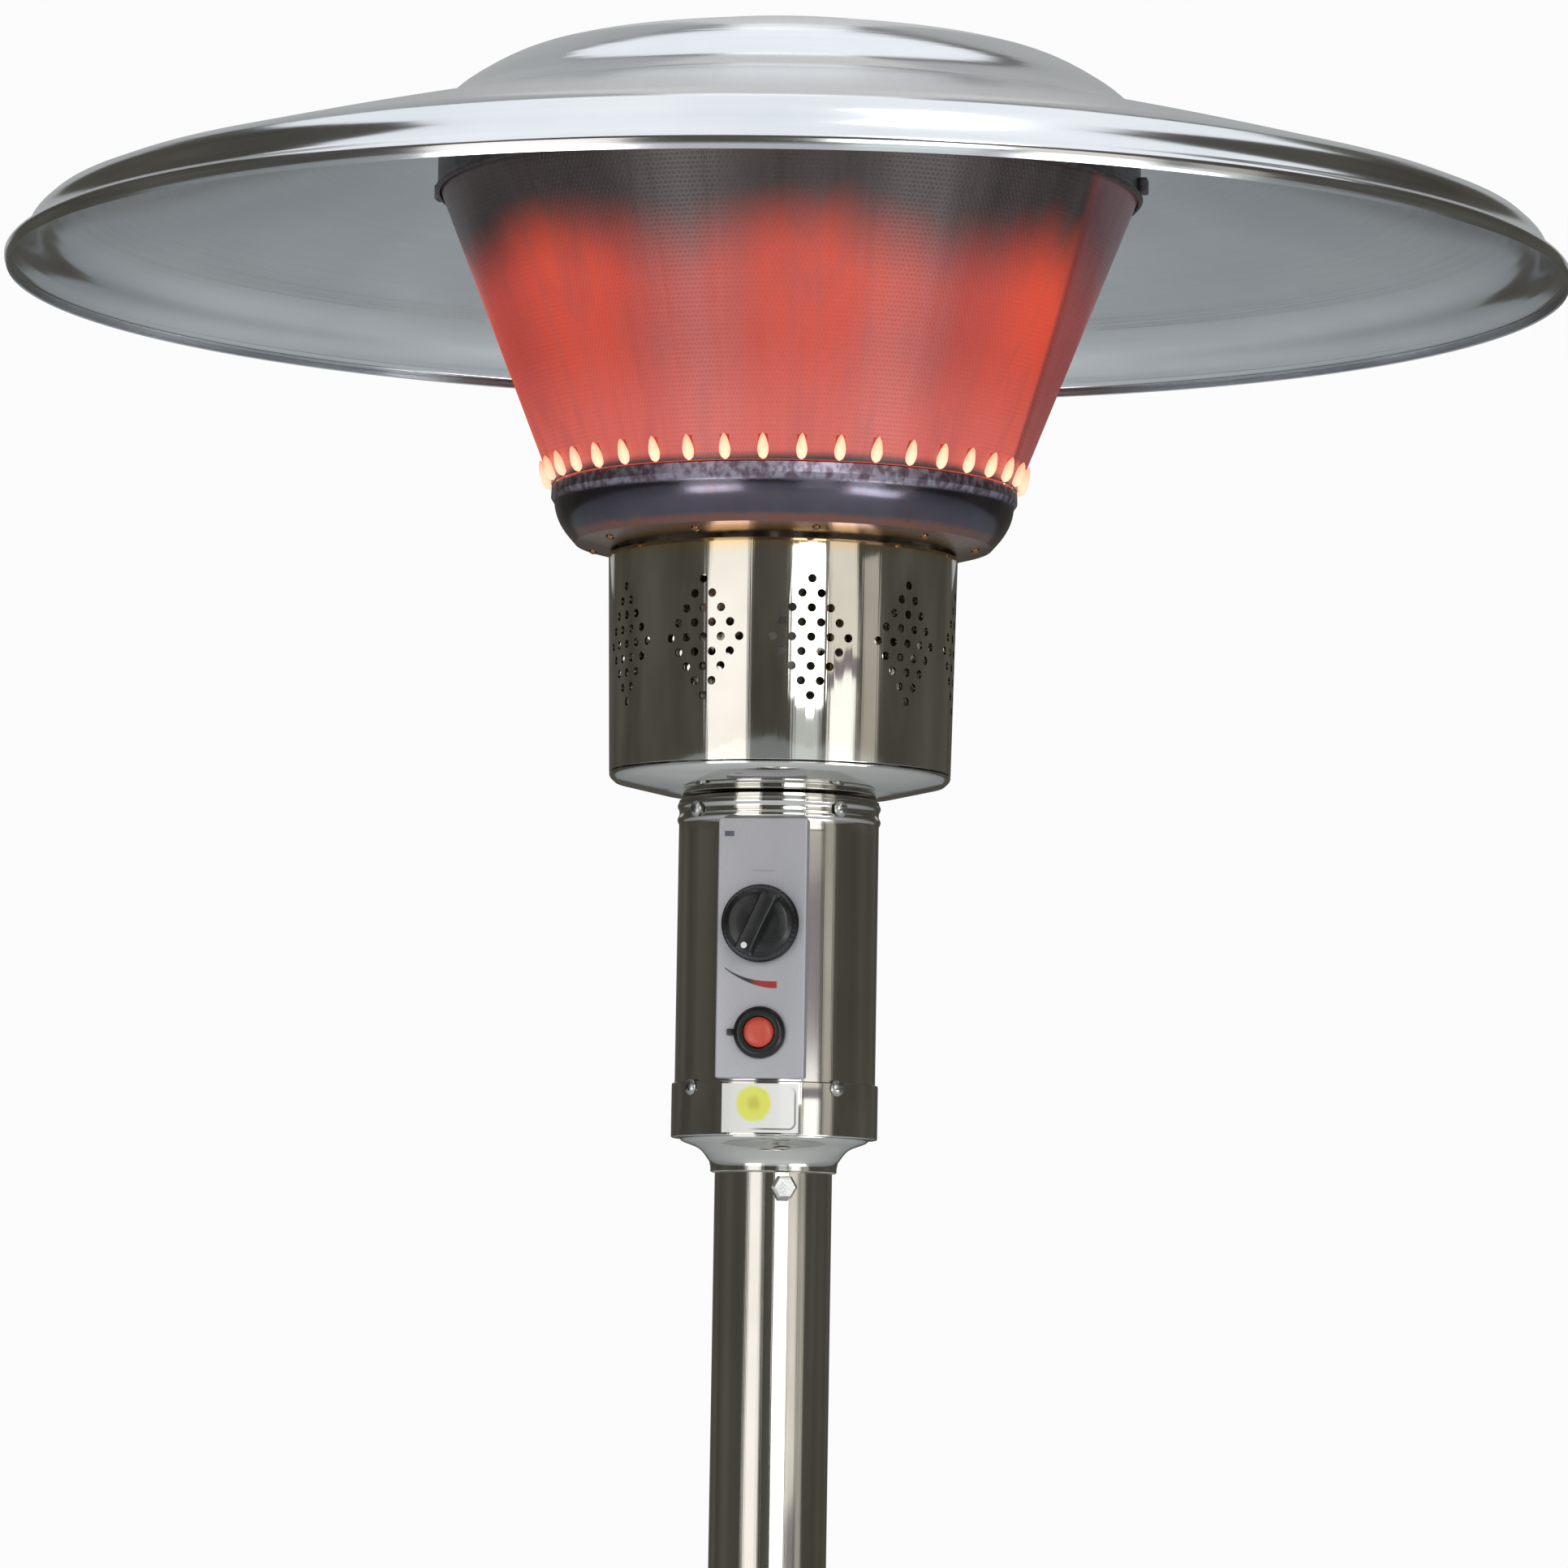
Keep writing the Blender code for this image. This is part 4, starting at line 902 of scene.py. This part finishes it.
def info_label():
    """A thin film wrapped round the collar, with rounded corners."""
    form = bmesh.new()
    middle = (COLLAR_TOP_Z + COLLAR_FOOT_Z) / 2
    bmesh.ops.create_grid(form, x_segments=24, y_segments=8, size=0.5)
    bmesh.ops.scale(form, verts=form.verts, vec=(LABEL_W, LABEL_H, 1))
    radius = COLLAR_R + 0.00025
    for vert in form.verts:
        turn = vert.co.x / radius
        vert.co = Vector((radius * math.sin(turn), -radius * math.cos(turn), middle + vert.co.y))
    bmesh.ops.recalc_face_normals(form, faces=form.faces)
    if form.faces[:][0].normal.y > 0:
        bmesh.ops.reverse_faces(form, faces=form.faces)
    piece("info_label", walled(form, 0.0001), LABEL, slot="panel_grey")


def knob():
    """The gas knob: a ribbed skirt, a waisted grip bar over the spindle's bore, and a white dot."""
    bore_r, bore_depth = 0.0034, 0.0138
    outline = [
        (bore_r, 0.0098),
        (0.0110, 0.0096),
        (0.0150, 0.0090),
        (0.0178, 0.0070),
        (0.0190, 0.0022),
        (0.0200, 0.0012),
        (0.0200, 0),
        (bore_r, 0),
    ]
    form = lathe(eased(outline, 0.0007, closed=True), steps=96, closed=True)
    for vert in form.verts:
        radius = vert.co.xy.length
        if 0.0172 < radius < 0.0194 and vert.co.z > 0.0015:
            rib = 0.00018 * math.cos(48 * math.atan2(vert.co.y, vert.co.x))
            vert.co.xy *= (radius + rib) / radius
    grip = box((-0.0050, -0.0170, 0.0040), (0.0050, 0.0170, 0.0170))
    lengthwise = [e for e in grip.edges if abs(e.verts[0].co.y - e.verts[1].co.y) > 0.01]
    bmesh.ops.subdivide_edges(grip, edges=lengthwise, cuts=7)
    for vert in grip.verts:
        waist = 1 - 0.06 * math.cos(vert.co.y / 0.0170 * math.pi / 2)
        draft = 1.0 if vert.co.z < 0.01 else 0.87
        vert.co.x *= waist * draft
    crests = [e for e in grip.edges if e.calc_face_angle(0) > 0.6 and any(v.co.z > 0.01 for v in e.verts)]
    soften(grip, crests, 0.0011, 3)
    drill = lathe([(0, bore_depth), (bore_r, bore_depth), (bore_r, 0), (0, 0)], steps=96)
    add(form, cut(grip, drill))
    dot = lathe([(0, 0.0002), (0.0016, 0.0002), (0.0016, -0.0004), (0, -0.0004)], steps=20)
    white_from = len(form.faces)
    add(form, dot, Matrix.Translation((0, -0.0135, 0.0170)))
    form.faces.ensure_lookup_table()
    for face in form.faces[white_from:]:
        face.material_index = 1
    twist = Matrix.Rotation(math.radians(-25), 4, "Z")
    bmesh.ops.transform(form, matrix=outward_frame(0, KNOB_BACK, KNOB_Z) @ twist, verts=form.verts)
    piece("knob_cap", form, [BLACK, WHITE], body="knob", stands_for="control_knob", slot="black_plastic")


def igniter():
    """The igniter's bezel with its pointer tab, and the domed red button."""
    outline = [
        (0.0082, 0.0048),
        (0.0112, 0.0048),
        (0.0132, 0.0030),
        (0.0135, 0.0003),
        (0.0102, 0.0003),
        (0.0102, 0.0471 - PANEL_FACE),
        (0.0082, 0.0471 - PANEL_FACE),
    ]
    form = lathe(eased(outline, 0.0006, closed=True), steps=64, closed=True)
    add(form, box((-0.0168, -0.0017, 0.0003), (-0.0122, 0.0017, 0.0024), 0.0005))
    bmesh.ops.transform(form, matrix=outward_frame(0, PANEL_FACE, IGNITER_Z), verts=form.verts)
    piece("igniter_ring", form, BLACK, stands_for="igniter_bezel", slot="black_plastic")

    outline = [
        *flowing([(0, 0.0078), (0.0040, 0.0076), (0.0066, 0.0069), (0.0077, 0.0054)], 3),
        (0.0078, 0.0046),
        (0.0078, -0.0030),
        (0.0055, -0.0030),
        (0.0055, 0.0455 - PANEL_FACE),
        (0, 0.0455 - PANEL_FACE),
    ]
    form = lathe(outline, steps=48)
    bmesh.ops.transform(form, matrix=outward_frame(0, PANEL_FACE, IGNITER_Z), verts=form.verts)
    piece("igniter_push", form, RED, body="igniter_button", stands_for="igniter_button", slot="red_plastic")


# Stand


def tank_sleeve():
    """The housing over the gas bottle, with a bead at its foot and rivets down its seam, and its cover."""
    low, high = foot("tank_housing"), top("tank_housing")
    outline = [
        (TANK_R - 0.001, high),
        (TANK_R, high),
        (TANK_R, low + 0.0205),
        (TANK_R + 0.0015, low + 0.0170),
        (TANK_R + 0.0015, low + 0.0130),
        (TANK_R, low + 0.0095),
        (TANK_R, low),
        (TANK_R - 0.001, low),
    ]
    form = lathe(eased(outline, 0.0010, closed=True), steps=144, closed=True)
    rivets, first_up, last_down = 7, 0.045, 0.030
    for number in range(rivets):
        z = low + first_up + (high - low - first_up - last_down) * number / (rivets - 1)
        rivet = [(0, 0.0013), (0.0018, 0.0010), (0.0029, 0.0002), (0.0029, -0.0005), (0, -0.0005)]
        add(form, lathe(rivet, steps=16), outward_frame(180, TANK_R, z))
    rides = {"body": "tank_sleeve", "slot": "polished_stainless"}
    piece("tank_sleeve_tube", form, BRUSHED, stands_for="tank_housing", **rides)

    lid_r, collar_r = TANK_R + 0.0018, 0.0375
    peak, rim = top("tank_cover"), foot("tank_cover")
    dome = flowing([(0.046, 0.655), (0.110, 0.618), (0.158, 0.588), (0.176, 0.573), (lid_r, 0.564)], 6)
    line = [(collar_r, peak), (collar_r, 0.6645), (0.0385, 0.6600), *dome, (lid_r, 0.552), (lid_r, rim)]
    form = walled(lathe(eased(line, 0.0015, steps=2), steps=144), 0.001)
    piece("tank_cover_dome", form, POLISHED, stands_for="tank_cover", **rides)


def base():
    """The pressed base plate, and the ballast disc under it."""
    high = top("base_plate")
    roll = 0.008
    edge = [
        (BASE_R - roll + roll * math.sin(turn), high - roll + roll * math.cos(turn))
        for turn in (math.radians(15 * i) for i in range(7))
    ]
    step_r = TANK_R + 0.018
    line = [(0, high), (step_r - 0.002, high), *edge, (BASE_R, 0.0015)]
    form = walled(lathe(line, steps=160), 0.002)
    piece("base_dish", form, POLISHED, stands_for="base_plate", slot="polished_stainless")
    ballast_r, ballast_h = 0.2150, 0.014
    outline = [(0, ballast_h), (ballast_r, ballast_h), (ballast_r, 0), (0, 0)]
    form = lathe(eased(outline, 0.0012), steps=120)
    piece("ballast_disc", form, IRON, stands_for="base_weight", slot="cast_iron")


def wheels():
    """Two wheels, each with two grooves round its tyre, a dished web and a hub."""
    for name, side in (("wheel_left", -1), ("wheel_right", 1)):
        low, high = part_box(name)
        middle = (low + high) / 2
        radius, half = (high.z - low.z) / 2, (high.x - low.x) / 2
        bore, hub, inner, tyre, web = 0.0043, 0.012, radius - 0.013, half - 0.002, 0.004
        outline = [
            (bore, half),
            (hub, half),
            (hub + 0.001, web + 0.001),
            (inner - 0.001, web),
            (inner, tyre),
            (radius - 0.003, tyre),
            (radius, tyre - 0.004),
            (radius, 0.0048),
            (radius - 0.0012, 0.0040),
            (radius - 0.0012, 0.0030),
            (radius, 0.0022),
        ]
        mirrored = [(r, -h) for r, h in reversed(outline)]
        form = lathe(eased([*outline, *mirrored], 0.0007, closed=True, steps=2), steps=96, closed=True)
        turn = Matrix.Rotation(math.radians(90), 4, "Y")
        bmesh.ops.transform(form, matrix=Matrix.Translation(middle) @ turn, verts=form.verts)
        piece(f"{name}_tyre", form, RUBBER, body=name, stands_for=name, slot="wheel_rubber")


def carried_over():
    """The CAD pieces that keep their own shape get the detailed finish of their slot."""
    by_slot = {
        "spun_aluminium": ALUMINIUM,
        "emitter_steel": GLOW,
        "heat_tinted_steel": HEAT,
        "polished_stainless": POLISHED,
        "brushed_stainless": BRUSHED,
        "zinc_plated_steel": ZINC,
        "cast_iron": IRON,
        "brass": BRASS,
        "panel_grey": PANEL,
        "black_plastic": BLACK,
        "red_plastic": RED,
        "ceramic": CERAMIC,
        "wheel_rubber": RUBBER,
    }
    for row in frame["record"]["subparts"]:
        node = frame["nodes"][row["node"]]
        if not node.hide_render:
            node.data.materials.clear()
            node.data.materials.append(by_slot[row["material_slot"]])


def floor():
    form = bmesh.new()
    bmesh.ops.create_circle(form, cap_ends=True, segments=96, radius=9)
    mesh = bpy.data.meshes.new("floor")
    form.to_mesh(mesh)
    form.free()
    mesh.materials.append(floor_paper())
    made = bpy.data.objects.new("floor", mesh)
    bpy.context.scene.collection.objects.link(made)


camera()
studio()
surroundings()
floor()
reflector()
screen()
screen_band()
heat_ring()
perforated_housing()
housing_dish()
control_tube()
collar()
head_screws()
neck()
post()
lock_bolt()
panel()
info_label()
knob()
igniter()
tank_sleeve()
base()
wheels()
carried_over()
